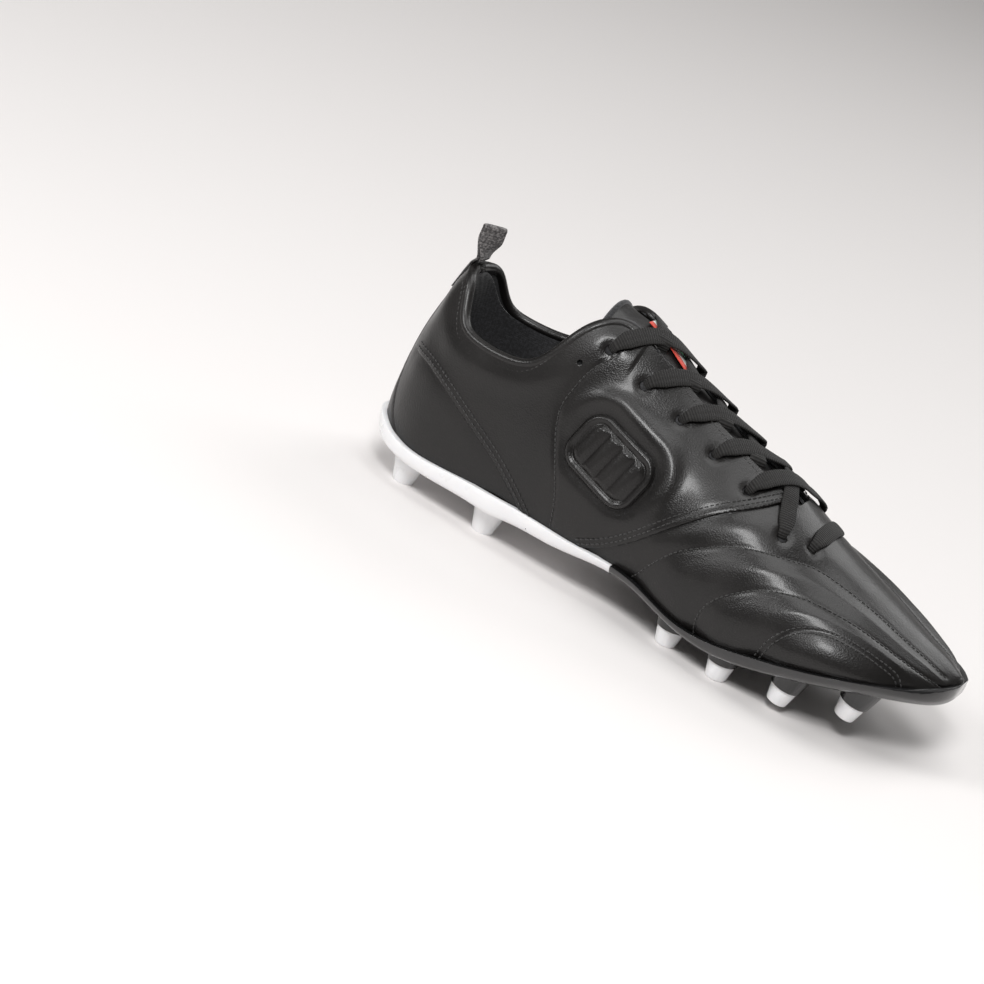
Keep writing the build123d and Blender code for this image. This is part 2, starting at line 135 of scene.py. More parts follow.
def spline_weights(count, at, closed=False):
    """Rows that weigh evenly numbered control points into points of a smooth spline."""
    eye = np.eye(count)
    if closed:
        ahead, behind = np.roll(eye, 1, 1), np.roll(eye, -1, 1)
        slope = np.linalg.solve(4 * eye + ahead + behind, 3 * (ahead - behind))
    else:
        left, right = np.eye(count), np.zeros((count, count))
        for i in range(count):
            lo, hi = max(i - 1, 0), min(i + 1, count - 1)
            left[i, i] = 4 if 0 < i < count - 1 else 2
            if i > 0:
                left[i, i - 1] = 1
            if i < count - 1:
                left[i, i + 1] = 1
            right[i, hi] += 3
            right[i, lo] -= 3
        slope = np.linalg.solve(left, right)
    at = np.asarray(at, float)
    low = np.floor(at).astype(int)
    if not closed:
        low = np.clip(low, 0, count - 2)
    f = (at - low)[:, None]
    a, b = low % count, (low + 1) % count
    return ((2 * f**3 - 3 * f**2 + 1) * eye[a] + (f**3 - 2 * f**2 + f) * slope[a]
            + (3 * f**2 - 2 * f**3) * eye[b] + (f**3 - f**2) * slope[b])


def smooth_line(points, samples=240):
    """A spline through a few given points, as many evenly numbered samples."""
    points = np.array(points, float)
    return spline_weights(len(points), np.linspace(0, len(points) - 1, samples)) @ points


def ring_controls(inset):
    """The control points of every section, (station, ring, xyz), drawn in by the inset."""
    rows = []
    for x, sole, top, outer, inner, shoulder, crown in STATIONS:
        room = min(outer, inner, (top - sole) / 2)
        depth = inset if inset <= 0 else inset / (1 + (inset / (0.8 * room)) ** 3) ** (1 / 3)
        height = top - sole - 2 * depth
        feather = min(3.6, 0.13 * height)
        levels = [(crown, LEVELS[0] * height), (shoulder, LEVELS[1] * height),
                  (1.0, LEVELS[2] * height), (0.94, feather), (0.72, 0.0)]
        outer, inner, low = outer - depth, inner - depth, sole + depth
        ring = [((inner - outer) / 2, low + height)]
        ring += [(-outer * share, low + rise) for share, rise in levels]
        ring += [((inner - outer) / 2, low)]
        ring += [(inner * share, low + rise) for share, rise in reversed(levels)]
        x = X_MIDDLE + (x - X_MIDDLE) * (X_REACH - inset) / X_REACH
        rows.append([(x, y, z) for y, z in ring])
    return np.array(rows)


CONTROLS = {}


def surface(along, around, inset=0.0):
    """Points of the form: along numbers the stations, around numbers the ring (+ is outer)."""
    if inset not in CONTROLS:
        CONTROLS[inset] = ring_controls(inset)
    lengthwise = spline_weights(len(STATIONS), np.ravel(along))
    ringwise = spline_weights(RING, np.ravel(around), closed=True)
    return np.einsum("ns,srk,nr->nk", lengthwise, CONTROLS[inset], ringwise, optimize=True)


def surface_grid(along, around, inset=0.0):
    """The form sampled on a whole grid, (along, around, xyz)."""
    if inset not in CONTROLS:
        CONTROLS[inset] = ring_controls(inset)
    lengthwise = spline_weights(len(STATIONS), along)
    ringwise = spline_weights(RING, around, closed=True)
    return np.einsum("as,srk,br->abk", lengthwise, CONTROLS[inset], ringwise, optimize=True)


ALONG_FINE = np.linspace(0, len(STATIONS) - 1, 2000)
X_FINE = spline_weights(len(STATIONS), ALONG_FINE) @ STATIONS[:, 0]


def along_at(x, inset=0.0):
    """The station number at an x."""
    x = X_MIDDLE + (np.asarray(x, float) - X_MIDDLE) * X_REACH / (X_REACH - inset)
    return np.interp(x, X_FINE, ALONG_FINE)


def around_at(x, z, side, inset=0.0):
    """The place round the section where a side of the form has this height."""
    steps = np.linspace(0, 4.6, 240)
    out = []
    for xi, zi in zip(np.ravel(x), np.ravel(z)):
        heights = surface_grid(along_at([xi], inset), steps, inset)[0, :, 2]
        out.append(np.interp(-zi, -heights, steps))
    return -side * np.array(out)


def normals_at(along, around, inset=0.0):
    """Outward unit normals of the form."""
    e = 1e-3
    d_along = surface(along + e, around, inset) - surface(along - e, around, inset)
    d_around = surface(along, around + e, inset) - surface(along, around - e, inset)
    n = np.cross(d_around, d_along)
    return n / np.linalg.norm(n, axis=1)[:, None]


def side_line(line, side, samples=240):
    """A side-view line laid on one side of the form, as (along, around) rows."""
    xz = smooth_line(line, samples)
    return np.column_stack([along_at(xz[:, 0]), around_at(xz[:, 0], xz[:, 1], side)])


def quilt_line(line, side, samples=240):
    """A quilting line given by x and place round the section, as (along, around) rows."""
    xv = smooth_line(line, samples)
    return np.column_stack([along_at(xv[:, 0]), -side * xv[:, 1]])


def signed_gap(points, line):
    """Signed distance from 2-D points to a 2-D polyline, positive on its left."""
    a, b = line[:-1], line[1:]
    edge = b - a
    size = (edge**2).sum(1)
    best = np.full(len(points), 1e9)
    sign = np.ones(len(points))
    for i in range(len(a)):
        rel = points - a[i]
        t = np.clip(rel @ edge[i] / size[i], 0, 1)
        off = rel - t[:, None] * edge[i]
        d = (off**2).sum(1)
        near = d < best
        best[near] = d[near]
        cross = edge[i, 0] * rel[:, 1] - edge[i, 1] * rel[:, 0]
        sign[near] = np.where(cross[near] >= 0, 1.0, -1.0)
    return np.sqrt(best) * sign


def patch_gap(points):
    """Signed distance in side view to the outline of the side patch, negative inside."""
    a = math.radians(PATCH_TILT)
    rel = points[:, [0, 2]] - np.array(PATCH_CENTRE)
    u = rel[:, 0] * math.cos(a) + rel[:, 1] * math.sin(a)
    v = -rel[:, 0] * math.sin(a) + rel[:, 1] * math.cos(a)
    du = np.abs(u) - PATCH_SIZE[0] / 2 + PATCH_CORNER
    dv = np.abs(v) - PATCH_SIZE[1] / 2 + PATCH_CORNER
    outside = np.hypot(np.maximum(du, 0), np.maximum(dv, 0))
    return outside + np.minimum(np.maximum(du, dv), 0) - PATCH_CORNER


def throat_gap(points):
    """Signed distance in plan to the lace opening, negative inside."""
    x, y = points[:, 0], np.abs(points[:, 1] + 0.5)
    half = throat_half(x)
    return np.where(x < THROAT_END, y - half, np.hypot(np.maximum(y - half, 0), x - THROAT_END))


def throat_half(x):
    """Half the width of the lace opening, which narrows towards its front end."""
    narrow = np.clip((x - (THROAT_END - 14)) / 14, 0, 1)
    return THROAT_HALF * (1 - 0.42 * narrow**2)


def run_length(path):
    """How far along a path each of its points is."""
    return np.concatenate([[0], np.cumsum(np.linalg.norm(np.diff(path, axis=0), axis=1))])


def place(points):
    """Millimetres in the shoe's own frame to metres in the object's frame."""
    return (np.asarray(points, float) - ORIGIN) / 1000.0


def nearest_finder(lines):
    """A finder of the distance to the nearest of many 3-D points."""
    points = np.vstack(lines)
    tree = kdtree.KDTree(len(points))
    for i, p in enumerate(points):
        tree.insert(p, i)
    tree.balance()
    return tree


def gaps_to(tree, points):
    """Distance from each point to the nearest point in a finder."""
    return np.array([tree.find(p)[2] for p in points])


# ---------------------------------------------------------------- meshes

def mesh_piece(name, points, faces, material):
    """A new smooth mesh object at the origin, from points in millimetres."""
    mesh = bpy.data.meshes.new(name)
    mesh.from_pydata([tuple(p) for p in place(points)], [], [tuple(f) for f in faces])
    mesh.validate()
    mesh.polygons.foreach_set("use_smooth", [True] * len(mesh.polygons))
    mesh.materials.append(material)
    obj = bpy.data.objects.new(name, mesh)
    bpy.context.scene.collection.objects.link(obj)
    return obj


def grid_faces(rows, columns, wrap=False):
    """Quads of a grid of points numbered row by row."""
    faces = []
    last = columns if wrap else columns - 1
    for i in range(rows - 1):
        for j in range(last):
            k = (j + 1) % columns
            faces.append((i * columns + j, i * columns + k, (i + 1) * columns + k,
                          (i + 1) * columns + j))
    return faces


def clip(points, faces, field):
    """Keeps the part of a mesh where the field is positive, cut exactly along its zero line."""
    points = list(map(tuple, points))
    field = list(field)
    cuts, kept = {}, []

    def cut(a, b):
        key = (min(a, b), max(a, b))
        if key not in cuts:
            t = field[a] / (field[a] - field[b])
            t = min(max(t, 0.02), 0.98)
            p = tuple(u + t * (v - u) for u, v in zip(points[a], points[b]))
            cuts[key] = len(points)
            points.append(p)
            field.append(0.0)
        return cuts[key]

    for face in faces:
        inside = [field[i] > 0 for i in face]
        if all(inside):
            kept.append(face)
            continue
        if not any(inside):
            continue
        ring = []
        for n, i in enumerate(face):
            j = face[(n + 1) % len(face)]
            if inside[n]:
                ring.append(i)
            if inside[n] != inside[(n + 1) % len(face)]:
                ring.append(cut(i, j))
        if len(ring) > 2:
            kept.append(tuple(ring))
    used = sorted({i for f in kept for i in f})
    index = {old: new for new, old in enumerate(used)}
    return (np.array([points[i] for i in used]), [tuple(index[i] for i in f) for f in kept])


def tube(name, path, half_widths, material, up, sides):
    """A swept tube with an elliptical section, half_widths across and along its up vectors."""
    path = np.asarray(path, float)
    count = len(path)
    tangent = np.gradient(path, axis=0)
    tangent /= np.linalg.norm(tangent, axis=1)[:, None]
    across = np.cross(tangent, up)
    across /= np.linalg.norm(across, axis=1)[:, None]
    lift = np.cross(across, tangent)
    angle = np.linspace(0, 2 * math.pi, sides, endpoint=False)
    wide, tall = np.broadcast_to(half_widths[0], count), np.broadcast_to(half_widths[1], count)
    ring = (path[:, None] + across[:, None] * (wide[:, None] * np.cos(angle))[..., None]
            + lift[:, None] * (tall[:, None] * np.sin(angle))[..., None])
    points = ring.reshape(-1, 3)
    faces = grid_faces(count, sides, wrap=True)
    ends = [len(points), len(points) + 1]
    points = np.vstack([points, path[:1], path[-1:]])
    for j in range(sides):
        k = (j + 1) % sides
        faces.append((ends[0], k, j))
        faces.append((ends[1], (count - 1) * sides + j, (count - 1) * sides + k))
    obj = mesh_piece(name, points, faces, material)
    outward(obj)
    return obj


def outward(obj):
    """Turns the faces of a closed mesh outwards."""
    work = bmesh.new()
    work.from_mesh(obj.data)
    bmesh.ops.recalc_face_normals(work, faces=work.faces)
    work.to_mesh(obj.data)
    work.free()


def finish_modifiers(obj):
    """Turns the modified object into a plain mesh."""
    bpy.context.view_layer.update()
    graph = bpy.context.evaluated_depsgraph_get()
    mesh = bpy.data.meshes.new_from_object(obj.evaluated_get(graph))
    obj.modifiers.clear()
    obj.data = mesh
    return obj


# ---------------------------------------------------------------- materials

def shader(name, color, roughness, **inputs):
    """A new material, its node tree and its main shader, with constants on the shader's sockets."""
    material = bpy.data.materials.new(name)
    material.use_nodes = True
    tree = material.node_tree
    main = tree.nodes["Principled BSDF"]
    main.inputs["Base Color"].default_value = (*color, 1.0)
    main.inputs["Roughness"].default_value = roughness
    for key, value in inputs.items():
        main.inputs[key.replace("_", " ")].default_value = value
    return material, tree, main


def node(tree, kind, links=(), **values):
    """Adds a node, sets its values and input defaults, and links sockets into it."""
    made = tree.nodes.new(kind)
    for key, value in values.items():
        if hasattr(made, key):
            setattr(made, key, value)
        else:
            made.inputs[key.replace("_", " ")].default_value = value
    for socket, source in links:
        tree.links.new(source, made.inputs[socket])
    return made


def ramp(tree, source, low, high, low_color, high_color):
    """A two-stop colour ramp."""
    made = node(tree, "ShaderNodeValToRGB", [("Fac", source)])
    made.color_ramp.elements[0].position = low
    made.color_ramp.elements[0].color = (*low_color, 1.0)
    made.color_ramp.elements[1].position = high
    made.color_ramp.elements[1].color = (*high_color, 1.0)
    return made


def object_place(tree):
    """The object coordinates of a material."""
    return node(tree, "ShaderNodeTexCoord").outputs["Object"]


def leather_material(name, color, roughness=0.36):
    """Fine-grained leather: pebbled cells, soft creases and slightly uneven polish."""
    material, tree, main = shader(name, color, roughness, Specular_IOR_Level=0.36,
                                  Coat_Weight=0.20, Coat_Roughness=0.18)
    spot = object_place(tree)
    grain = node(tree, "ShaderNodeTexVoronoi", [("Vector", spot)], feature="SMOOTH_F1", Scale=1500.0,
                 Smoothness=0.4)
    pores = node(tree, "ShaderNodeTexNoise", [("Vector", spot)], Scale=2600.0, Detail=3.0)
    crease = node(tree, "ShaderNodeTexNoise", [("Vector", spot)], Scale=120.0, Detail=5.0,
                  Roughness=0.6)
    fine = node(tree, "ShaderNodeBump", [("Height", grain.outputs["Distance"])], Strength=0.26,
                Distance=0.00035)
    finer = node(tree, "ShaderNodeBump", [("Height", pores.outputs["Fac"]),
                                          ("Normal", fine.outputs["Normal"])],
                 Strength=0.16, Distance=0.0002)
    soft = node(tree, "ShaderNodeBump", [("Height", crease.outputs["Fac"]),
                                         ("Normal", finer.outputs["Normal"])],
                Strength=0.12, Distance=0.0012)
    tree.links.new(soft.outputs["Normal"], main.inputs["Normal"])
    patches = node(tree, "ShaderNodeTexNoise", [("Vector", spot)], Scale=45.0, Detail=4.0)
    polish = node(tree, "ShaderNodeMapRange", [("Value", patches.outputs["Fac"])], From_Min=0.3,
                  From_Max=0.7, To_Min=roughness - 0.06, To_Max=roughness + 0.09)
    tree.links.new(polish.outputs["Result"], main.inputs["Roughness"])
    darker = tuple(c * 0.75 for c in color)
    lighter = tuple(c * 1.35 for c in color)
    tint = ramp(tree, patches.outputs["Fac"], 0.35, 0.7, darker, lighter)
    tree.links.new(tint.outputs["Color"], main.inputs["Base Color"])
    return material


def plastic_material(name, color, roughness, coat=0.0, subsurface=0.0):
    """Moulded plastic with faint mould texture and rubbed, less glossy areas."""
    material, tree, main = shader(name, color, roughness, Coat_Weight=coat, Coat_Roughness=0.08,
                                  Subsurface_Weight=subsurface, Subsurface_Scale=0.002)
    main.inputs["Subsurface Radius"].default_value = (1.0, 0.9, 0.8)
    spot = object_place(tree)
    flow = node(tree, "ShaderNodeTexNoise", [("Vector", spot)], Scale=60.0, Detail=4.0)
    skin = node(tree, "ShaderNodeTexNoise", [("Vector", spot)], Scale=1400.0, Detail=2.0)
    wave = node(tree, "ShaderNodeBump", [("Height", flow.outputs["Fac"])], Strength=0.05,
                Distance=0.0008)
    bump = node(tree, "ShaderNodeBump", [("Height", skin.outputs["Fac"]),
                                         ("Normal", wave.outputs["Normal"])],
                Strength=0.05, Distance=0.0001)
    tree.links.new(bump.outputs["Normal"], main.inputs["Normal"])
    rub = node(tree, "ShaderNodeMapRange", [("Value", flow.outputs["Fac"])], From_Min=0.35,
               From_Max=0.7, To_Min=roughness * 0.8, To_Max=roughness * 1.4)
    tree.links.new(rub.outputs["Result"], main.inputs["Roughness"])
    return material


def woven_material(name, color, light, scale, strength=0.5, roughness=0.85):
    """Cloth with a crossing weave and mottled yarn, on object coordinates."""
    material, tree, main = shader(name, color, roughness, Sheen_Weight=0.25, Sheen_Roughness=0.5)
    spot = object_place(tree)
    across = node(tree, "ShaderNodeTexWave", [("Vector", spot)], Scale=scale, bands_direction="X",
                  Distortion=0.6, Detail=1.0)
    upright = node(tree, "ShaderNodeTexWave", [("Vector", spot)], Scale=scale, bands_direction="Z",
                   Distortion=0.6, Detail=1.0)
    weave = node(tree, "ShaderNodeMath", [(0, across.outputs["Fac"]), (1, upright.outputs["Fac"])],
                 operation="MULTIPLY")
    bump = node(tree, "ShaderNodeBump", [("Height", weave.outputs["Value"])], Strength=strength,
                Distance=0.0003)
    tree.links.new(bump.outputs["Normal"], main.inputs["Normal"])
    yarn = node(tree, "ShaderNodeTexNoise", [("Vector", spot)], Scale=900.0, Detail=3.0)
    tint = ramp(tree, yarn.outputs["Fac"], 0.42, 0.62, color, light)
    tree.links.new(tint.outputs["Color"], main.inputs["Base Color"])
    return material


def ribbed_material(name, color, light):
    """Flat lace: cross ribs and edge cords, on the strap's own UV map, with painted shade darkening the rib
    troughs and a painted highlight lightening the crests.
    """
    material, tree, main = shader(name, color, 0.72, Sheen_Weight=0.06, Sheen_Roughness=0.45,
                                  Specular_IOR_Level=0.3)
    uv = node(tree, "ShaderNodeUVMap", uv_map="strap")
    split = node(tree, "ShaderNodeSeparateXYZ", [("Vector", uv.outputs["UV"])])
    ribs = node(tree, "ShaderNodeMath", [(0, split.outputs["X"])], operation="MULTIPLY")
    ribs.inputs[1].default_value = 2 * math.pi
    wave = node(tree, "ShaderNodeMath", [(0, ribs.outputs["Value"])], operation="SINE")
    cords = node(tree, "ShaderNodeMath", [(0, split.outputs["Y"])], operation="MULTIPLY")
    cords.inputs[1].default_value = 2 * math.pi
    braid = node(tree, "ShaderNodeMath", [(0, cords.outputs["Value"])], operation="SINE")
    height = node(tree, "ShaderNodeMath", [(0, braid.outputs["Value"]), (2, wave.outputs["Value"])],
                  operation="MULTIPLY_ADD")
    height.inputs[1].default_value = 0.35
    bump = node(tree, "ShaderNodeBump", [("Height", height.outputs["Value"])], Strength=0.55,
                Distance=0.00025)
    tree.links.new(bump.outputs["Normal"], main.inputs["Normal"])
    # Painted shade and highlight: the colour follows the rib height, darker in the troughs and lighter on
    # the crests.
    lift = node(tree, "ShaderNodeMapRange", [("Value", wave.outputs["Value"])], From_Min=-1.0,
                From_Max=1.0)
    tint = ramp(tree, lift.outputs["Result"], 0.1, 0.9, color, light)
    tree.links.new(tint.outputs["Color"], main.inputs["Base Color"])
    return material


def striped_material(name):
    """The tongue label: three woven stripes across its width."""
    material, tree, main = shader(name, (0.6, 0.05, 0.04), 0.75, Sheen_Weight=0.2)
    split = node(tree, "ShaderNodeSeparateXYZ", [("Vector", object_place(tree))])
    spread = node(tree, "ShaderNodeMapRange", [("Value", split.outputs["Y"])], From_Min=-0.0065,
                  From_Max=0.0075)
    bands = node(tree, "ShaderNodeValToRGB", [("Fac", spread.outputs["Result"])])
    bands.color_ramp.interpolation = "CONSTANT"
    stops = bands.color_ramp.elements
    stops[0].position, stops[0].color = 0.0, (0.62, 0.055, 0.03, 1.0)
    stops[1].position, stops[1].color = 0.36, (0.75, 0.75, 0.72, 1.0)
    last = stops.new(0.66)
    last.color = (0.02, 0.32, 0.13, 1.0)
    tree.links.new(bands.outputs["Color"], main.inputs["Base Color"])
    weave = node(tree, "ShaderNodeTexWave", [("Vector", object_place(tree))], Scale=500.0,
                 bands_direction="X")
    bump = node(tree, "ShaderNodeBump", [("Height", weave.outputs["Fac"])], Strength=0.4,
                Distance=0.0003)
    tree.links.new(bump.outputs["Normal"], main.inputs["Normal"])
    return material


BLACK = (0.0058, 0.0050, 0.0047)
FINISHES = {
    "leather": leather_material("black_leather_grain", BLACK, 0.36),
    "tongue": leather_material("tongue_leather_grain", (0.010, 0.0092, 0.009), 0.44),
    "black_plate": plastic_material("gloss_black_moulding", (0.008, 0.008, 0.0085), 0.14, coat=0.6),
    "white_plate": plastic_material("white_moulding", (0.86, 0.86, 0.87), 0.30, coat=0.15,
                                    subsurface=0.15),
    "lining": woven_material("black_knit_lining", (0.008, 0.008, 0.009), (0.025, 0.025, 0.028),
                             320.0),
    "webbing": woven_material("grey_mottled_webbing", (0.045, 0.042, 0.042), (0.17, 0.16, 0.158),
                              260.0, 0.9),
    "lace": ribbed_material("black_ribbed_lace", (0.006, 0.0056, 0.0054), (0.020, 0.019, 0.018)),
    "thread": woven_material("black_thread", (0.008, 0.0075, 0.0075), (0.022, 0.021, 0.020),
                             900.0, 0.3, 0.5),
    "label": striped_material("tricolour_label"),
    "board": woven_material("fibre_board", (0.05, 0.04, 0.03), (0.09, 0.075, 0.055), 200.0, 0.3),
    "foam": woven_material("dark_foam", (0.008, 0.008, 0.009), (0.02, 0.02, 0.022), 150.0, 0.2),
    "sock": woven_material("sockliner_cloth", (0.012, 0.012, 0.014), (0.035, 0.035, 0.04), 300.0),
}


def settle(obj, finish, body, *nodes):
    """Gives a finished piece its body and hides the CAD nodes that it stands for."""
    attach(obj, body)
    if nodes:
        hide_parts(*nodes)
    return obj


# ---------------------------------------------------------------- shared lines and relief

SIDES = (-1, 1)                      # outer (lateral) side first


def throat_edge(gap=0.0):
    """Plan points (x, y) round the lace opening, from the outer corner round the front."""
    xs = np.linspace(97, THROAT_END, 140)
    half = throat_half(xs) + gap
    outer = np.column_stack([xs, -half - 0.5])
    turn = np.linspace(-math.pi / 2, math.pi / 2, 24)[1:-1]
    front = np.column_stack([THROAT_END + (gap + 1.0) * np.cos(turn), half[-1] * np.sin(turn) - 0.5])
    inner = np.column_stack([xs, half - 0.5])[::-1]
    return np.vstack([outer, front, inner])


def over(x, y, inset=0.0):
    """Points and outward normals of the upper surface at plan places."""
    steps = np.linspace(-3, 3, 240)
    x, y = np.ravel(x).astype(float), np.ravel(y).astype(float)
    along = along_at(x, inset)
    widths = surface_grid(along, steps, inset)[:, :, 1]
    around = np.array([np.interp(-yi, -w, steps) for yi, w in zip(y, widths)])
    return surface(along, around, inset), normals_at(along, around, inset)


def collar_rows(lift=0.0, samples=200):
    """The collar rim from the outer front corner round the heel to the inner one."""
    steps = smooth_line(COLLAR, 1200)
    tops = surface(along_at(steps[:, 0]), np.zeros(len(steps)))[:, 2]
    first = int(np.argmax(tops > steps[:, 1]))
    share = np.linspace(0, 1, samples) ** 2
    x = steps[first, 0] + (steps[-1, 0] - steps[first, 0]) * share
    z = np.interp(x, steps[:, 0], steps[:, 1]) + lift
    around = around_at(x, z, -1)
    outer = np.column_stack([along_at(x), around])
    return np.vstack([outer[::-1], (outer * [1, -1])[1:]])


def laid(rows, inset=0.0):
    """(along, around) rows as points on the form."""
    return surface(rows[:, 0], rows[:, 1], inset)


LINES = {"heel": {}, "vamp": {}, "strip": {}, "wing": {}, "toe": {}, "side": {}}
for side in SIDES:
    LINES["heel"][side] = side_line(HEEL_SEAM[1:], side)
    LINES["vamp"][side] = side_line(VAMP_SEAM[1:-1], side)
    LINES["side"][side] = side_line(SIDE_STITCH, side)
    LINES["strip"][side] = quilt_line(STRIP_LINE, side)
    LINES["wing"][side] = quilt_line(WING_LINE, side)
    LINES["toe"][side] = quilt_line(TOE_LINE, side)


def finder_of(*names):
    """A distance finder over densely sampled seam lines of both sides."""
    dense = []
    for name in names:
        for side in SIDES:
            rows = LINES[name][side]
            many = np.column_stack([np.interp(np.linspace(0, len(rows) - 1, 1600),
                                              np.arange(len(rows)), rows[:, k]) for k in (0, 1)])
            dense.append(laid(many))
    return nearest_finder(dense)


QUILTS = finder_of("strip", "wing", "toe")
SEAM_A = finder_of("vamp")
HEEL = finder_of("heel")
SIDES_RUN = finder_of("side")


def side_gap(line):
    """A field: signed distance in side view to a line, positive on its left."""
    dense = smooth_line(line, 160)
    return lambda p: signed_gap(p[:, [0, 2]], dense)


TO_COLLAR, TO_HEEL, TO_VAMP, TO_WELT = (side_gap(t) for t in (COLLAR, HEEL_SEAM, VAMP_SEAM, WELT))


def dent(gap, depth, width):
    """A round-bottomed groove profile."""
    return -depth * np.exp(-((gap / width) ** 2))


def vamp_relief(points):
    """Puffed quilting: the leather sinks to each sewn line and swells between them."""
    quilt, seam = gaps_to(QUILTS, points), gaps_to(SEAM_A, points)
    swell = 1.0 - np.exp(-((quilt / 6.5) ** 2))
    flat = np.exp(-((seam / 5.0) ** 2))
    puff = 0.85 - 1.3 * (1.0 - swell) + dent(quilt, 0.4, 0.9)
    return puff * (1 - flat) - 0.4 * flat


def quarter_relief(points):
    """A raised ridge round the side patch, a sewn channel behind it and turned edges."""
    seam, heel, run = (gaps_to(t, points) for t in (SEAM_A, HEEL, SIDES_RUN))
    patch = patch_gap(points)
    toward = (points[:, 0] - PATCH_CENTRE[0]) * 0.55 + (points[:, 2] - PATCH_CENTRE[1]) * 0.83
    side = np.clip(0.55 + toward / 26.0, 0.12, 1.0)
    ridge = 1.9 * side * np.exp(-(((patch - 6.5) / 4.0) ** 2)) - 0.7 * np.exp(-((patch / 2.6) ** 2))
    edge = 0.75 * np.exp(-((seam / 8.0) ** 2)) - 0.35 * np.exp(-((seam / 0.7) ** 2))
    sewn = dent(np.abs(seam - 3.0), 0.3, 1.6)
    low = dent(heel, 0.3, 0.8) + dent(run, 0.45, 0.9) + 0.45 * np.exp(-((heel / 5) ** 2))
    rim = -TO_COLLAR(points)
    padding = 0.7 * np.exp(-(((rim - 9.0) / 5.0) ** 2)) * (points[:, 0] < 100)
    return ridge * (patch > -3) + edge + sewn + low + padding + 0.25


def heel_relief(points):
    """The heel panels sit under the quarters and swell slightly."""
    heel = gaps_to(HEEL, points)
    return 0.25 - 0.45 * np.exp(-((heel / 4.0) ** 2)) + dent(heel, 0.2, 0.7)


def backstay_relief(points):
    """The backstay lies on top, with thinned edges."""
    gap = back_gap(points)
    return 0.75 - 0.55 * np.exp(-((gap / 1.1) ** 2))


def back_gap(points):
    """Signed distance in the back view to the backstay's outline, positive inside."""
    line = smooth_line(BACKSTAY, 60)
    half = np.interp(-points[:, 2], -line[:, 1], line[:, 0])
    return half - np.abs(points[:, 1])


# ---------------------------------------------------------------- panels cut from the form

def shoe_rows(inset=0.0, reach=4.7, fine=1.0, x_range=None, around_range=None):
    """The form as rows (x, y, z, nx, ny, nz) and quads, closed with small domes at heel and toe.

    fine sets how dense the grid is; x_range and around_range keep only a part of the form.
    """
    xs = np.concatenate([np.linspace(0.8, 6, 16)[:-1],
                         np.linspace(6, 270, int(300 * fine))[:-1], np.linspace(270, 278, 22)])
    low, high = around_range or (-reach, reach)
    if x_range:
        xs = xs[(xs > x_range[0]) & (xs < x_range[1])]
    around = np.linspace(low, high, int((high - low) * 27 * fine))
    grid = surface_grid(along_at(xs), around, inset)
    normal = np.cross(np.gradient(grid, axis=1), np.gradient(grid, axis=0))
    normal /= np.linalg.norm(normal, axis=2)[..., None] + 1e-12
    centre = grid.mean(axis=1, keepdims=True)
    if ((grid - centre) * normal).sum() < 0:
        normal = -normal
    if not x_range:
        grid, normal = dome(grid, normal, 0, -1.0)
        grid, normal = dome(grid, normal, -1, 1.0)
    rows = np.concatenate([grid, normal], axis=2).reshape(-1, 6)
    return rows, grid_faces(grid.shape[0], grid.shape[1])


def dome(grid, normal, end, way):
    """Closes one end of a grid with rows that shrink to its middle."""
    ring, facing = grid[end], normal[end]
    centre = np.array([ring[0, 0], (ring[:, 1].max() + ring[:, 1].min()) / 2,
                       (ring[:, 2].max() + ring[:, 2].min()) / 2])
    new, turned = [], []
    for share in (0.94, 0.82, 0.66, 0.48, 0.28, 0.02):
        bulge = np.array([way * 1.6 * math.sqrt(1 - share**2), 0, 0])
        new.append(centre + share * (ring - centre) + bulge)
        mixed = share**3 * facing + (1 - share**3) * np.array([way, 0, 0])
        turned.append(mixed / np.linalg.norm(mixed, axis=1)[:, None])
    new, turned = np.array(new), np.array(turned)
    if end == 0:
        return np.concatenate([new[::-1], grid]), np.concatenate([turned[::-1], normal])
    return np.concatenate([grid, new]), np.concatenate([normal, turned])


def above_sole(p):
    """A field that keeps the leather down to just under the welt."""
    return TO_WELT(p) + 5.0


def below_collar(p):
    """A field that opens the collar."""
    return np.where(p[:, 0] < 150, -TO_COLLAR(p), 9.0)


def beside_throat(p):
    """A field that opens the throat under the lace."""
    return np.where(p[:, 0] < 78, 9.0, throat_gap(p))


def punched(p):
    """A field that leaves the lace holes open."""
    gap = np.full(len(p), 9.0)
    for centre in HOLES:
        gap = np.minimum(gap, np.linalg.norm(p - centre, axis=1) - HOLE_RADIUS)
    for centre in VENTS:
        gap = np.minimum(gap, np.linalg.norm(p - centre, axis=1) - VENT_RADIUS)
    return gap


def panel(name, form, cuts, relief, finish, thickness=LEATHER_THICK):
    """One leather panel: cut from the form, shaped by its relief and given its thickness."""
    rows, faces = form
    for cut in cuts:
        rows, faces = clip(rows, faces, cut(np.asarray(rows)[:, :3]))
    spots = rows[:, :3]
    normal = rows[:, 3:] / np.linalg.norm(rows[:, 3:], axis=1)[:, None]
    shaped = spots + normal * relief(spots)[:, None]
    first = faces[len(faces) // 2]
    a, b, c = (shaped[i] for i in first[:3])
    if np.dot(np.cross(b - a, c - a), normal[first[0]]) < 0:
        faces = [tuple(reversed(f)) for f in faces]
    obj = mesh_piece(name, shaped, faces, FINISHES[finish])
    solid = obj.modifiers.new("thickness", "SOLIDIFY")
    solid.thickness = thickness / 1000
    solid.offset = -1.0
    return finish_modifiers(obj)


def eyelet_places():
    """The lace holes on both sides, as points on the form."""
    holes = []
    for side in SIDES:
        for x, z in EYELETS:
            around = around_at([x], [z], side)
            holes.append(surface(along_at([x]), around)[0])
    return np.array(holes)


HOLES = eyelet_places()
VENTS = np.array([surface(along_at(VENT_HOLE[:1]), around_at(VENT_HOLE[:1], VENT_HOLE[1:], s))[0]
                  for s in SIDES])

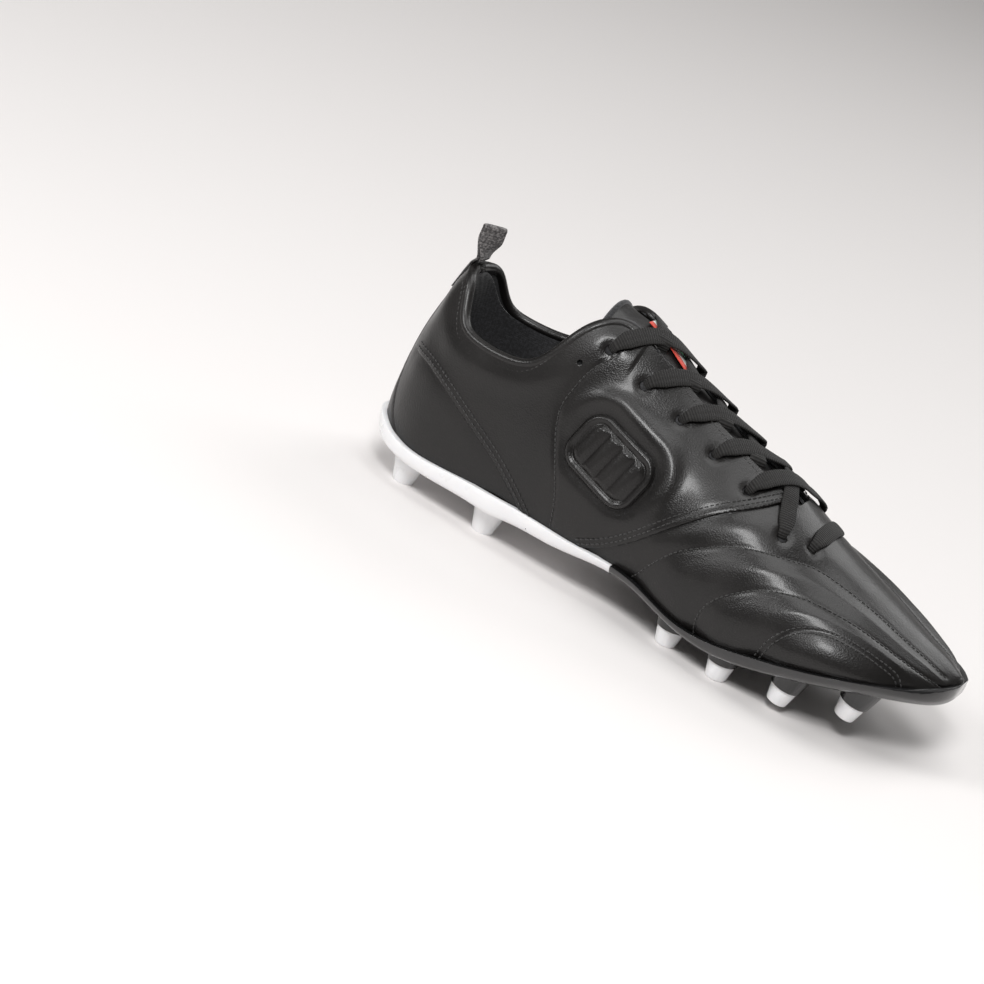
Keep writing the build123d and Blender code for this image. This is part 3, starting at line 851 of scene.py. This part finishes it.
def hole_dent(p):
    """The leather sinks a little towards each lace hole."""
    sink = np.zeros(len(p))
    for centre in HOLES:
        gap = np.linalg.norm(p - centre, axis=1)
        sink -= 0.8 * np.exp(-((np.maximum(gap - 1.8, 0) / 2.0) ** 2))
    return sink


def skin_relief(p):
    """The relief of whichever outer leather lies at these points."""
    shape = np.where(TO_VAMP(p) > 0, vamp_relief(p), quarter_relief(p))
    return np.where(beside_throat(p) > 0, shape + hole_dent(p), 0.0)


def ribbon(name, path, facing, width, thick, finish, rib=1.15, cords=3.0):
    """A flat strap with soft edges along a path; facing gives its outward direction."""
    path, facing = np.asarray(path, float), np.asarray(facing, float)
    count = len(path)
    tangent = np.gradient(path, axis=0)
    tangent /= np.linalg.norm(tangent, axis=1)[:, None]
    across = np.cross(tangent, facing)
    across /= np.linalg.norm(across, axis=1)[:, None]
    lift = np.cross(across, tangent)
    width, thick = np.broadcast_to(width, count), np.broadcast_to(thick, count)
    turn = np.linspace(0, 2 * math.pi, 20, endpoint=False)
    u = np.sign(np.cos(turn)) * np.abs(np.cos(turn)) ** 0.55
    h = np.sign(np.sin(turn)) * np.abs(np.sin(turn)) ** 0.75
    ring = (path[:, None] + across[:, None] * (width[:, None] / 2 * u)[..., None]
            + lift[:, None] * (thick[:, None] / 2 * h)[..., None])
    points = ring.reshape(-1, 3)
    faces = grid_faces(count, 20, wrap=True)
    faces += [tuple(range(20)), tuple(reversed(range((count - 1) * 20, count * 20)))]
    obj = mesh_piece(name, points, faces, FINISHES[finish])
    length = run_length(path)
    layer = obj.data.uv_layers.new(name="strap")
    for loop in obj.data.loops:
        i, j = divmod(loop.vertex_index, 20)
        layer.data[loop.index].uv = (length[i] / rib, (u[j] * 0.5 + 0.5) * cords)
    outward(obj)
    return obj


# ---------------------------------------------------------------- stitching

def stitch_tree():
    """Geometry Nodes: sewn thread, one small bar at each pitch along every line of the mesh."""
    tree = bpy.data.node_groups.new("Sewn line", "GeometryNodeTree")
    face = tree.interface
    face.new_socket("Line", in_out="INPUT", socket_type="NodeSocketGeometry")
    for name, value in (("Pitch", 0.0026), ("Thread radius", 0.0003), ("Stitch length", 0.002)):
        face.new_socket(name, in_out="INPUT", socket_type="NodeSocketFloat").default_value = value
    face.new_socket("Thread", in_out="INPUT", socket_type="NodeSocketMaterial")
    face.new_socket("Stitches", in_out="OUTPUT", socket_type="NodeSocketGeometry")
    start = tree.nodes.new("NodeGroupInput")
    end = tree.nodes.new("NodeGroupOutput")
    curve = node(tree, "GeometryNodeMeshToCurve", [("Mesh", start.outputs["Line"])])
    even = node(tree, "GeometryNodeResampleCurve", [("Curve", curve.outputs["Curve"]),
                                                    ("Length", start.outputs["Pitch"])],
                mode="LENGTH")
    bead = node(tree, "GeometryNodeMeshUVSphere", Segments=6, Rings=4, Radius=1.0)
    half = node(tree, "ShaderNodeMath", [(0, start.outputs["Stitch length"])], operation="MULTIPLY")
    half.inputs[1].default_value = 0.5
    size = node(tree, "ShaderNodeCombineXYZ", [("X", start.outputs["Thread radius"]),
                                               ("Y", start.outputs["Thread radius"]),
                                               ("Z", half.outputs["Value"])])
    shape = node(tree, "GeometryNodeTransform", [("Geometry", bead.outputs["Mesh"]),
                                                 ("Scale", size.outputs["Vector"])])
    run = node(tree, "GeometryNodeInputTangent")
    turn = node(tree, "FunctionNodeAlignRotationToVector", [("Vector", run.outputs["Tangent"])],
                axis="Z")
    sewn = node(tree, "GeometryNodeInstanceOnPoints",
                [("Points", even.outputs["Curve"]), ("Instance", shape.outputs["Geometry"]),
                 ("Rotation", turn.outputs["Rotation"])])
    real = node(tree, "GeometryNodeRealizeInstances", [("Geometry", sewn.outputs["Instances"])])
    smooth = node(tree, "GeometryNodeSetShadeSmooth", [("Geometry", real.outputs["Geometry"])])
    dressed = node(tree, "GeometryNodeSetMaterial", [("Geometry", smooth.outputs["Geometry"]),
                                                     ("Material", start.outputs["Thread"])])
    tree.links.new(dressed.outputs["Geometry"], end.inputs["Stitches"])
    return tree


def sew(name, lines, body, settings):
    """Sews thread along lines of points in millimetres, as one plain mesh."""
    if "Sewn line" not in bpy.data.node_groups:
        stitch_tree()
    tree = bpy.data.node_groups["Sewn line"]
    points, edges = [], []
    for line in lines:
        base = len(points)
        points += [tuple(p) for p in place(line)]
        edges += [(base + i, base + i + 1) for i in range(len(line) - 1)]
    mesh = bpy.data.meshes.new(name)
    mesh.from_pydata(points, edges, [])
    obj = bpy.data.objects.new(name, mesh)
    bpy.context.scene.collection.objects.link(obj)
    sewing = obj.modifiers.new("sewing", "NODES")
    sewing.node_group = tree
    values = {"Pitch": settings.stitch_pitch, "Thread radius": settings.thread_radius,
              "Stitch length": settings.stitch_pitch * 0.8, "Thread": FINISHES["thread"]}
    for item in tree.interface.items_tree:
        if item.in_out == "INPUT" and item.name in values:
            sewing[item.identifier] = values[item.name]
    finish_modifiers(obj)
    return settle(obj, "thread", body)


def beside(rows, gap, relief, lift=0.15):
    """A sewn line at a distance from a line on the form, lying on the shaped leather."""
    base, up = laid(rows), normals_at(rows[:, 0], rows[:, 1])
    run = np.gradient(base, axis=0)
    run /= np.linalg.norm(run, axis=1)[:, None]
    spots = base + np.cross(up, run) * gap
    return spots + up * (relief(spots) + lift)[:, None]


# ---------------------------------------------------------------- sizes and colours a user may change

class CleatSizes(bpy.types.PropertyGroup):
    """Sizes of the cleat's trim."""
    lace_width: bpy.props.FloatProperty(name="Lace width", description="Width of the flat lace",
                                        default=0.0078, unit="LENGTH")
    lace_thickness: bpy.props.FloatProperty(name="Lace thickness", description="Thickness of the lace",
                                            default=0.0015, unit="LENGTH")
    stitch_pitch: bpy.props.FloatProperty(name="Stitch pitch", description="Length from stitch to stitch",
                                          default=0.0023, unit="LENGTH")
    thread_radius: bpy.props.FloatProperty(name="Thread radius", description="Half the thread's thickness",
                                           default=0.00032, unit="LENGTH")
    binding_radius: bpy.props.FloatProperty(name="Binding radius", description="Roll of the collar binding",
                                            default=0.0024, unit="LENGTH")


class CleatStudio(bpy.types.PropertyGroup):
    """Floor and light."""
    floor_color: bpy.props.FloatVectorProperty(name="Floor colour", description="Colour of the floor",
                                               default=(0.80, 0.775, 0.765), subtype="COLOR")
    floor_size: bpy.props.FloatProperty(name="Floor size", description="Side of the floor",
                                        default=14.0, unit="LENGTH")
    light_power: bpy.props.FloatProperty(name="Light power", description="Power of the main soft light",
                                         default=14.0, subtype="POWER")


# ---------------------------------------------------------------- operators

class CLEAT_OT_upper(bpy.types.Operator):
    """Cut and shape the leather panels of the upper"""
    bl_idname = "cleat.upper"
    bl_label = "Leather upper"

    def execute(self, context):
        whole = shoe_rows()
        vamp = panel("vamp_leather", whole,
                     [lambda p: TO_VAMP(p) + 2.5, above_sole, beside_throat, punched],
                     lambda p: vamp_relief(p) + hole_dent(p), "leather")
        settle(vamp, "leather", "root", "vamp")
        for side, word in zip(SIDES, ("lateral", "medial")):
            half = shoe_rows(around_range=(0, 4.7) if side < 0 else (-4.7, 0), fine=1.15)
            quarter = panel(f"quarter_leather_{word}", half,
                            [lambda p: -TO_VAMP(p), TO_HEEL, above_sole, below_collar, beside_throat,
                             lambda p: np.where(p[:, 0] < 45, 2 - back_gap(p), 9.0), punched],
                            lambda p: quarter_relief(p) + hole_dent(p), "leather")
            settle(quarter, "leather", "root", f"quarter_{word}")
            heel = panel(f"heel_leather_{word}", half,
                         [lambda p: 2.5 - TO_HEEL(p), above_sole,
                          lambda p: np.where(p[:, 0] < 45, 2 - back_gap(p), 9.0)],
                         heel_relief, "leather")
            settle(heel, "leather", "root", f"heel_panel_{word}")
        back = panel("backstay_leather", whole,
                     [lambda p: np.where(p[:, 0] < 50, back_gap(p), -9.0), above_sole, below_collar],
                     backstay_relief, "leather")
        settle(back, "leather", "root", "backstay")
        return {"FINISHED"}


class CLEAT_OT_lining(bpy.types.Operator):
    """Make the soft lining and finish the layers inside"""
    bl_idname = "cleat.lining"
    bl_label = "Lining and inner layers"

    def execute(self, context):
        def quilted(p):
            return 0.35 * np.sin(p[:, 0] * 0.11) * np.sin(p[:, 2] * 0.13)

        lining = panel("padded_lining", shoe_rows(LINING_DEPTH, 4.2, 0.8),
                       [lambda p: np.where(p[:, 0] < 150, -1.2 - TO_COLLAR(p), 9.0),
                        lambda p: beside_throat(p) - 0.3,
                        lambda p: TO_WELT(p) + 1.0, lambda p: p[:, 0] - 3.0],
                       quilted, "lining", LINING_THICK)
        settle(lining, "lining", "root", "heel_lining", "quarter_lining_lateral",
               "quarter_lining_medial", "vamp_lining")
        for name, finish in (("sockliner", "sock"), ("insole_board", "board"), ("bottom_filler", "foam"),
                             ("heel_counter", "board"), ("toe_puff", "board"), ("vamp_foam", "foam"),
                             ("collar_foam", "foam"), ("eyestay_tape_lateral", "lining"),
                             ("eyestay_tape_medial", "lining"), ("quarter_backing_lateral", "lining"),
                             ("quarter_backing_medial", "lining")):
            finish_cad(name, finish)
        return {"FINISHED"}


def finish_cad(name, finish):
    """Gives a CAD node that stays one of the finishes."""
    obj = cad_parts[name]
    for place_in_list in obj.material_slots:
        place_in_list.material = FINISHES[finish]


class CLEAT_OT_collar(bpy.types.Operator):
    """Roll the binding round the collar"""
    bl_idname = "cleat.collar"
    bl_label = "Collar binding"

    def execute(self, context):
        rows = collar_rows(-0.2)
        path = laid(rows, 1.7)
        radius = context.scene.cleat_sizes.binding_radius * 1000
        binding = tube("rolled_collar_binding", path, (radius, radius * 0.9), FINISHES["leather"],
                       up=np.array([0.0, 0.0, 1.0]), sides=18)
        settle(binding, "leather", "root", "collar_binding")
        return {"FINISHED"}


class CLEAT_OT_tongue(bpy.types.Operator):
    """Pad the tongue, bind its edge and lay the label on it"""
    bl_idname = "cleat.tongue"
    bl_label = "Tongue"

    def execute(self, context):
        rolled = TONGUE_TOP + TONGUE_ROUND * (1 - np.cos(np.linspace(0, math.pi / 2, 9)))
        xs = np.concatenate([rolled[:-1], np.linspace(TONGUE_TOP + TONGUE_ROUND, 186, 90)])
        share = np.sin(np.linspace(-math.pi / 2, math.pi / 2, 41))
        upper, lower = [], []
        for x in xs:
            half = tongue_half(x)
            near = np.clip(1 - (x - TONGUE_TOP) / TONGUE_ROUND, 0, 1)
            thin = math.sqrt(max(1 - near**2, 0.0)) * np.sqrt(np.clip(1 - np.abs(share) ** 8, 0, 1))
            swell = 0.9 * (1 - share**4) * min((x - TONGUE_TOP) / 12, 1)
            top, up = over(np.full(41, x), half * share, TONGUE_DEPTH)
            flat = pressed(x, share)
            middle = top - up * TONGUE_THICK / 2 - np.outer(flat, (0, 0, 1))
            upper.append(middle + up * (thin * (TONGUE_THICK / 2 + swell - 0.7))[:, None])
            lower.append(middle - up * (thin * (TONGUE_THICK / 2 - 0.2))[:, None])
        ring = np.concatenate([np.array(upper), np.array(lower)[:, ::-1][:, 1:-1]], axis=1)
        count = ring.shape[1]
        points = ring.reshape(-1, 3)
        faces = grid_faces(len(xs), count, wrap=True)
        faces += [tuple(range(count)), tuple(reversed(range(len(points) - count, len(points))))]
        pad = mesh_piece("padded_tongue", points, faces, FINISHES["tongue"])
        outward(pad)
        settle(pad, "tongue", "tongue", "tongue_leather", "tongue_foam", "tongue_lining")

        edge_x = np.concatenate([np.linspace(122, TONGUE_TOP + 6, 40),
                                 TONGUE_TOP + 6 - 5.2 * np.sin(np.linspace(0, math.pi / 2, 14))[1:]])
        edge_y = np.array([tongue_half(x) for x in edge_x]) - 0.5
        corner = np.linspace(edge_y[-1], 0, 30)[1:]
        outer = np.vstack([np.column_stack([edge_x, -edge_y]),
                           np.column_stack([np.full(29, edge_x[-1]), -corner])])
        line = np.vstack([outer, (outer * [1, -1])[::-1][1:]])
        spots, up = over(line[:, 0], line[:, 1], TONGUE_DEPTH + 0.6)
        spots = spots - up * TONGUE_THICK * 0.36
        widths = np.array([tongue_half(x) for x in line[:, 0]])
        spots[:, 2] -= pressed(line[:, 0], np.clip(np.abs(line[:, 1]) / widths, 0, 1))
        bound = tube("bound_tongue_edge", spots, (1.5, 2.5), FINISHES["lining"], up=up, sides=14)
        settle(bound, "lining", "tongue", "tongue_binding")

        xs = np.linspace(94, 117, 40)
        label_path, up = over(xs, np.full(40, 0.0), TONGUE_DEPTH - 0.55)
        label = ribbon("woven_label", label_path, up, 13.0, 0.9, "label")
        settle(label, "label", "tongue", "tongue_label")
        return {"FINISHED"}


def tongue_half(x):
    """Half the tongue's width at an x, with a rounded top."""
    wide = np.interp(x, [82, 165, 186], [23.5, 19.5, 10.0])
    rise = np.clip((x - TONGUE_TOP) / 10.0, 0, 1)
    return wide * (0.80 + 0.20 * math.sqrt(1 - (1 - rise) ** 2))


def pressed(x, share):
    """How far the tongue's crown is flattened near its top; share is 1 at its edges."""
    return TONGUE_FLAT * (1 - share**2) * ease((TONGUE_FLAT_END - x) / 22)


class CLEAT_OT_patches(bpy.types.Operator):
    """Pad the emblem patches on both sides"""
    bl_idname = "cleat.patches"
    bl_label = "Side patches"

    def execute(self, context):
        for side, word in zip(SIDES, ("lateral", "medial")):
            reach = (1.3, 3.6) if side < 0 else (-3.6, -1.3)
            form = shoe_rows(x_range=(86, 137), around_range=reach, fine=3.4)
            patch = panel(f"padded_patch_{word}", form, [lambda p: -patch_gap(p)], patch_relief,
                          "leather", 1.6)
            settle(patch, "leather", "root", f"side_patch_{word}")
        return {"FINISHED"}


def patch_relief(p):
    """Four padded lobes between sewn channels, inside a rolled border."""
    gap = -patch_gap(p)
    a = math.radians(PATCH_TILT)
    u = (p[:, 0] - PATCH_CENTRE[0]) * math.cos(a) + (p[:, 2] - PATCH_CENTRE[1]) * math.sin(a)
    span = PATCH_SIZE[0] - 9.0
    lobe = np.abs(np.sin(math.pi * (u / span + 0.5) * 4)) ** 0.85
    inner = ease((gap - 3.7) / 2.4)
    border = 0.75 * np.exp(-(((gap - 1.7) / 1.25) ** 2))
    channel = dent(gap - 3.8, 0.45, 0.5)
    rim = 0.9 * np.exp(-((gap / 0.55) ** 2))
    return 1.15 + border + channel + inner * (1.5 * lobe - 0.35) - rim


def ease(share):
    """A soft step from 0 to 1."""
    share = np.clip(share, 0, 1)
    return share * share * (3 - 2 * share)


def strap(name, line, lift, width, thick, to_hole):
    """One strap over the plan line: out of a hole, across the shoe, into a hole or under the flap."""
    base, up = over(line[:, 0], line[:, 1])
    start = run_length(base)
    end = start[-1] - start
    rise = ease(start / 2.6)
    fall = ease(end / 2.6) if to_hole else ease((end - 0.6) / 4.0)
    taut = TAUT * np.sin(math.pi * np.clip((start - 6) / (start[-1] - 9), 0, 1)) * (not to_hole)
    high = (lift + smoothed(skin_relief(base))) * rise * fall - HOLE_DROP * (1 - rise) - taut
    high -= (HOLE_DROP if to_hole else FLAP_DROP) * (1 - fall)
    wide = 0.52 + 0.48 * ease(start / 9.0) * (ease(end / 9.0) if to_hole else 1.0)
    return ribbon(name, base + up * high[:, None], up, width * wide, thick * (1.7 - 0.7 * wide),
                  "lace")


def smoothed(values, turns=14):
    """A row of values evened out, for a taut strap over a bumpy surface."""
    for _ in range(turns):
        inner = (values[:-2] + 2 * values[1:-1] + values[2:]) / 4
        values = np.concatenate([values[:1], inner, values[-1:]])
    return values


class CLEAT_OT_lace(bpy.types.Operator):
    """Lay the crossing straps of the lace"""
    bl_idname = "cleat.lace"
    bl_label = "Lace"

    def execute(self, context):
        sizes = context.scene.cleat_sizes
        width, thick = sizes.lace_width * 1000, sizes.lace_thickness * 1000
        made = []
        count = len(EYELETS)
        for side, word, lift in ((1, "medial", 1.0), (-1, "lateral", 2.4)):
            for row in range(5):
                hole = HOLES[row if side < 0 else row + count]
                ahead = HOLES[row + 1 if side > 0 else row + 1 + count]
                last = row == 4
                lead = LATERAL_LEADS[row] if side < 0 else (0.0 if last else MEDIAL_LEAD)
                across = ahead[1] if last else -side * (THROAT_HALF + 1.6)
                end = np.array([ahead[0] + lead, across])
                line = hole[:2] + (end - hole[:2]) * np.linspace(0, 1, 60)[:, None]
                made.append(strap(f"lace_strap_{word}_{row + 1}", line, lift, width, thick, last))
        y = np.linspace(HOLES[count - 1][1], HOLES[-1][1], 50)
        x = np.full(50, (HOLES[count - 1][0] + HOLES[-1][0]) / 2)
        made.append(strap("lace_bar", np.column_stack([x, y]), 1.0, width, thick, True))
        for piece in made:
            settle(piece, "lace", "root", "lace")
        return {"FINISHED"}


class CLEAT_OT_pull_tab(bpy.types.Operator):
    """Fold the webbing pull tab and lay its foot against the heel"""
    bl_idname = "cleat.pull_tab"
    bl_label = "Pull tab"

    def execute(self, context):
        turn = np.linspace(-math.pi / 2, math.pi / 2, 14)
        rise = np.linspace(TAB_FOOT, 114.9, 16)
        bow = 0.75 + 0.5 * np.sin(math.pi * (rise - TAB_FOOT) / 17)
        back = np.column_stack([TAB_X - bow, np.zeros(16), rise])
        top = np.column_stack([TAB_X + 1.15 * np.sin(turn), np.zeros(14),
                               115.4 + 1.25 * np.cos(turn)])
        front = np.column_stack([TAB_X + bow, np.zeros(16), rise])[::-1]
        path = np.vstack([back, top, front])
        facing = np.zeros_like(path)
        facing[:16] = (-1, 0, 0)
        facing[-16:] = (1, 0, 0)
        facing[16:-16] = np.column_stack([np.sin(turn), np.zeros(14), np.cos(turn)])
        turned = math.radians(TAB_TWIST) * ease((path[:, 2] - 102) / 9.0)
        path, facing = twisted(path, turned, (TAB_X, 0, 0)), twisted(facing, turned, (0, 0, 0))
        tab = ribbon("webbing_pull_tab", path, facing, TAB_WIDTH, 1.15, "webbing")
        settle(tab, "webbing", "pull_tab", "pull_tab")

        z = np.linspace(85, 98.6, 24)
        xs = np.array([np.interp(zi, *heel_profile()) for zi in z])
        path = np.column_stack([xs, np.zeros(24), z]) + np.array(HEEL_BACK) * 1.1
        path = np.vstack([path, [(10.9, 0, 100.6), (11.6, 0, 101.6), (12.3, 0, 102.6)]])
        facing = np.tile(HEEL_BACK, (len(path), 1))
        foot = ribbon("webbing_tab_foot", path, facing, TAB_WIDTH, 1.1, "webbing")
        settle(foot, "webbing", "root", "pull_tab_anchor")
        return {"FINISHED"}


def twisted(points, angle, centre):
    """Points turned about an upright axis, each by its own angle."""
    rel = points - np.array(centre, float)
    c, s = np.cos(angle), np.sin(angle)
    return np.column_stack([rel[:, 0] * c - rel[:, 1] * s, rel[:, 0] * s + rel[:, 1] * c,
                            rel[:, 2]]) + np.array(centre, float)


def heel_profile():
    """Heights and x places of the heel's back line."""
    along = np.linspace(0, 4, 200)
    line = surface(along, np.zeros(200))
    return line[:, 2], line[:, 0]


class CLEAT_OT_sole(bpy.types.Operator):
    """Round the edges of the plates and stud tips"""
    bl_idname = "cleat.sole"
    bl_label = "Sole plates and studs"

    def execute(self, context):
        soften("outsole_front_plate", "gloss_front_plate", "black_plate")
        soften("outsole_rear_plate", "white_rear_plate", "white_plate")
        for word in ("lateral", "medial"):
            for number in range(1, 5):
                soften(f"stud_tip_{word}_{number}", f"white_stud_{word}_{number}", "white_plate")
        return {"FINISHED"}


def soften(source, name, finish):
    """A merged copy of a CAD node with its sharp edges rounded."""
    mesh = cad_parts[source].data.copy()
    work = bmesh.new()
    work.from_mesh(mesh)
    bmesh.ops.remove_doubles(work, verts=work.verts, dist=2e-6)
    bmesh.ops.dissolve_limit(work, angle_limit=math.radians(2.0), verts=work.verts, edges=work.edges)
    work.to_mesh(mesh)
    work.free()
    mesh.materials.clear()
    mesh.materials.append(FINISHES[finish])
    obj = bpy.data.objects.new(name, mesh)
    bpy.context.scene.collection.objects.link(obj)
    edge = obj.modifiers.new("edges", "BEVEL")
    edge.width = EDGE_ROUND
    edge.segments = 2
    edge.limit_method = "ANGLE"
    edge.angle_limit = math.radians(35)
    edge.harden_normals = False
    finish_modifiers(obj)
    obj.data.shade_smooth()
    obj.data.set_sharp_from_angle(angle=math.radians(50))
    return settle(obj, finish, "root", source)


class CLEAT_OT_stitching(bpy.types.Operator):
    """Sew the seams, the quilting and the bound edges"""
    bl_idname = "cleat.stitching"
    bl_label = "Stitching"

    def execute(self, context):
        sizes = context.scene.cleat_sizes
        seams, quilting, edges = [], [], []
        for side in SIDES:
            for gap in SEAM_ROWS:
                seams.append(beside(LINES["vamp"][side], side * gap, quarter_relief))
                seams.append(beside(LINES["heel"][side], side * -gap, quarter_relief))
            for gap in TOE_ROWS:
                quilting.append(beside(LINES["toe"][side], gap, vamp_relief))
            quilting.append(beside(LINES["strip"][side], 0, vamp_relief))
            quilting.append(beside(LINES["wing"][side], 0, vamp_relief))
            quilting.append(beside(LINES["side"][side], 0, quarter_relief))
        rim = throat_edge(THROAT_ROW)
        spots, up = over(rim[:, 0], rim[:, 1])
        edges.append(spots + up * 0.2)
        rows = collar_rows(-COLLAR_ROW, 160)
        edges.append(laid(rows) + normals_at(rows[:, 0], rows[:, 1]) * 0.25)
        sew("seam_thread", seams, "root", sizes)
        sew("quilting_thread", quilting, "root", sizes)
        sew("edge_thread", edges, "root", sizes)
        return {"FINISHED"}


class CLEAT_OT_stage(bpy.types.Operator):
    """Set the floor, the soft light and the camera"""
    bl_idname = "cleat.stage"
    bl_label = "Stage"

    def execute(self, context):
        studio = context.scene.cleat_studio
        half = studio.floor_size / 2
        mesh = bpy.data.meshes.new("floor")
        mesh.from_pydata([(-half, -half, 0), (half, -half, 0), (half, half, 0), (-half, half, 0)], [],
                         [(0, 1, 2, 3)])
        mesh.materials.append(floor_material(tuple(studio.floor_color)))
        floor = bpy.data.objects.new("floor", mesh)
        context.scene.collection.objects.link(floor)

        world = bpy.data.worlds.new("studio")
        context.scene.world = world
        world.use_nodes = True
        glow = world.node_tree.nodes["Background"]
        glow.inputs["Color"].default_value = (1.0, 0.985, 0.965, 1.0)
        glow.inputs["Strength"].default_value = 0.20
        context.scene.view_settings.view_transform = "Standard"

        for name, spot, aim, size, power in (
                ("main_light", (0.15, -1.15, 1.25), (0.0, 0.0, 0.05), 0.42, 1.15),
                ("side_light", (-0.9, -0.9, 1.0), (-0.05, 0.0, 0.05), 0.4, 0.6),
                ("back_light", (0.5, 1.2, 1.1), (0.0, 0.0, 0.05), 0.9, 0.5),
                ("top_light", (0.0, 0.1, 1.5), (0.0, 0.0, 0.05), 1.0, 0.7)):
            light = bpy.data.lights.new(name, "AREA")
            light.size = size
            light.energy = studio.light_power * power
            lamp = bpy.data.objects.new(name, light)
            lamp.location = spot
            lamp.rotation_euler = (Vector(aim) - Vector(spot)).to_track_quat("-Z", "Y").to_euler()
            context.scene.collection.objects.link(lamp)

        camera = bpy.data.cameras.new("camera")
        camera.lens, camera.sensor_width = CAMERA_LENS, CAMERA_SENSOR
        camera.clip_end = 50.0
        eye = bpy.data.objects.new("camera", camera)
        turn = Matrix((CAMERA_RIGHT, CAMERA_UP, CAMERA_BACK)).transposed().to_4x4()
        eye.matrix_world = Matrix.Translation(Vector(place(CAMERA_PLACE))) @ turn
        context.scene.collection.objects.link(eye)
        context.scene.camera = eye
        return {"FINISHED"}


def floor_material(color):
    """A plain pale floor with the faintest unevenness."""
    material, tree, main = shader("studio_floor", color, 0.6)
    mottle = node(tree, "ShaderNodeTexNoise", [("Vector", object_place(tree))], Scale=1.5, Detail=2.0)
    tint = ramp(tree, mottle.outputs["Fac"], 0.3, 0.7, tuple(c * 0.99 for c in color), color)
    tree.links.new(tint.outputs["Color"], main.inputs["Base Color"])
    return material


class CLEAT_PT_panel(bpy.types.Panel):
    """The cleat's pieces and sizes"""
    bl_idname = "CLEAT_PT_panel"
    bl_label = "Soccer cleat"
    bl_space_type = "VIEW_3D"
    bl_region_type = "UI"
    bl_category = "Cleat"

    def draw(self, context):
        layout = self.layout
        for name in ("lace_width", "lace_thickness", "stitch_pitch", "thread_radius", "binding_radius"):
            layout.prop(context.scene.cleat_sizes, name)
        for name in ("floor_color", "floor_size", "light_power"):
            layout.prop(context.scene.cleat_studio, name)
        for maker in MAKERS:
            layout.operator(maker.bl_idname)


MAKERS = (CLEAT_OT_upper, CLEAT_OT_lining, CLEAT_OT_collar, CLEAT_OT_tongue, CLEAT_OT_patches,
          CLEAT_OT_lace, CLEAT_OT_pull_tab, CLEAT_OT_sole, CLEAT_OT_stitching, CLEAT_OT_stage)
CLASSES = (CleatSizes, CleatStudio) + MAKERS + (CLEAT_PT_panel,)


def register():
    """Adds the classes and their settings."""
    for made in CLASSES:
        bpy.utils.register_class(made)
    bpy.types.Scene.cleat_sizes = bpy.props.PointerProperty(type=CleatSizes)
    bpy.types.Scene.cleat_studio = bpy.props.PointerProperty(type=CleatStudio)


def unregister():
    """Takes the settings and the classes away again."""
    del bpy.types.Scene.cleat_studio
    del bpy.types.Scene.cleat_sizes
    for made in reversed(CLASSES):
        bpy.utils.unregister_class(made)


def main():
    """Makes every piece in order."""
    register()
    bpy.ops.cleat.upper()
    bpy.ops.cleat.lining()
    bpy.ops.cleat.collar()
    bpy.ops.cleat.tongue()
    bpy.ops.cleat.patches()
    bpy.ops.cleat.lace()
    bpy.ops.cleat.pull_tab()
    bpy.ops.cleat.sole()
    bpy.ops.cleat.stitching()
    bpy.ops.cleat.stage()
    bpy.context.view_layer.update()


if __name__ == "__main__":
    main()
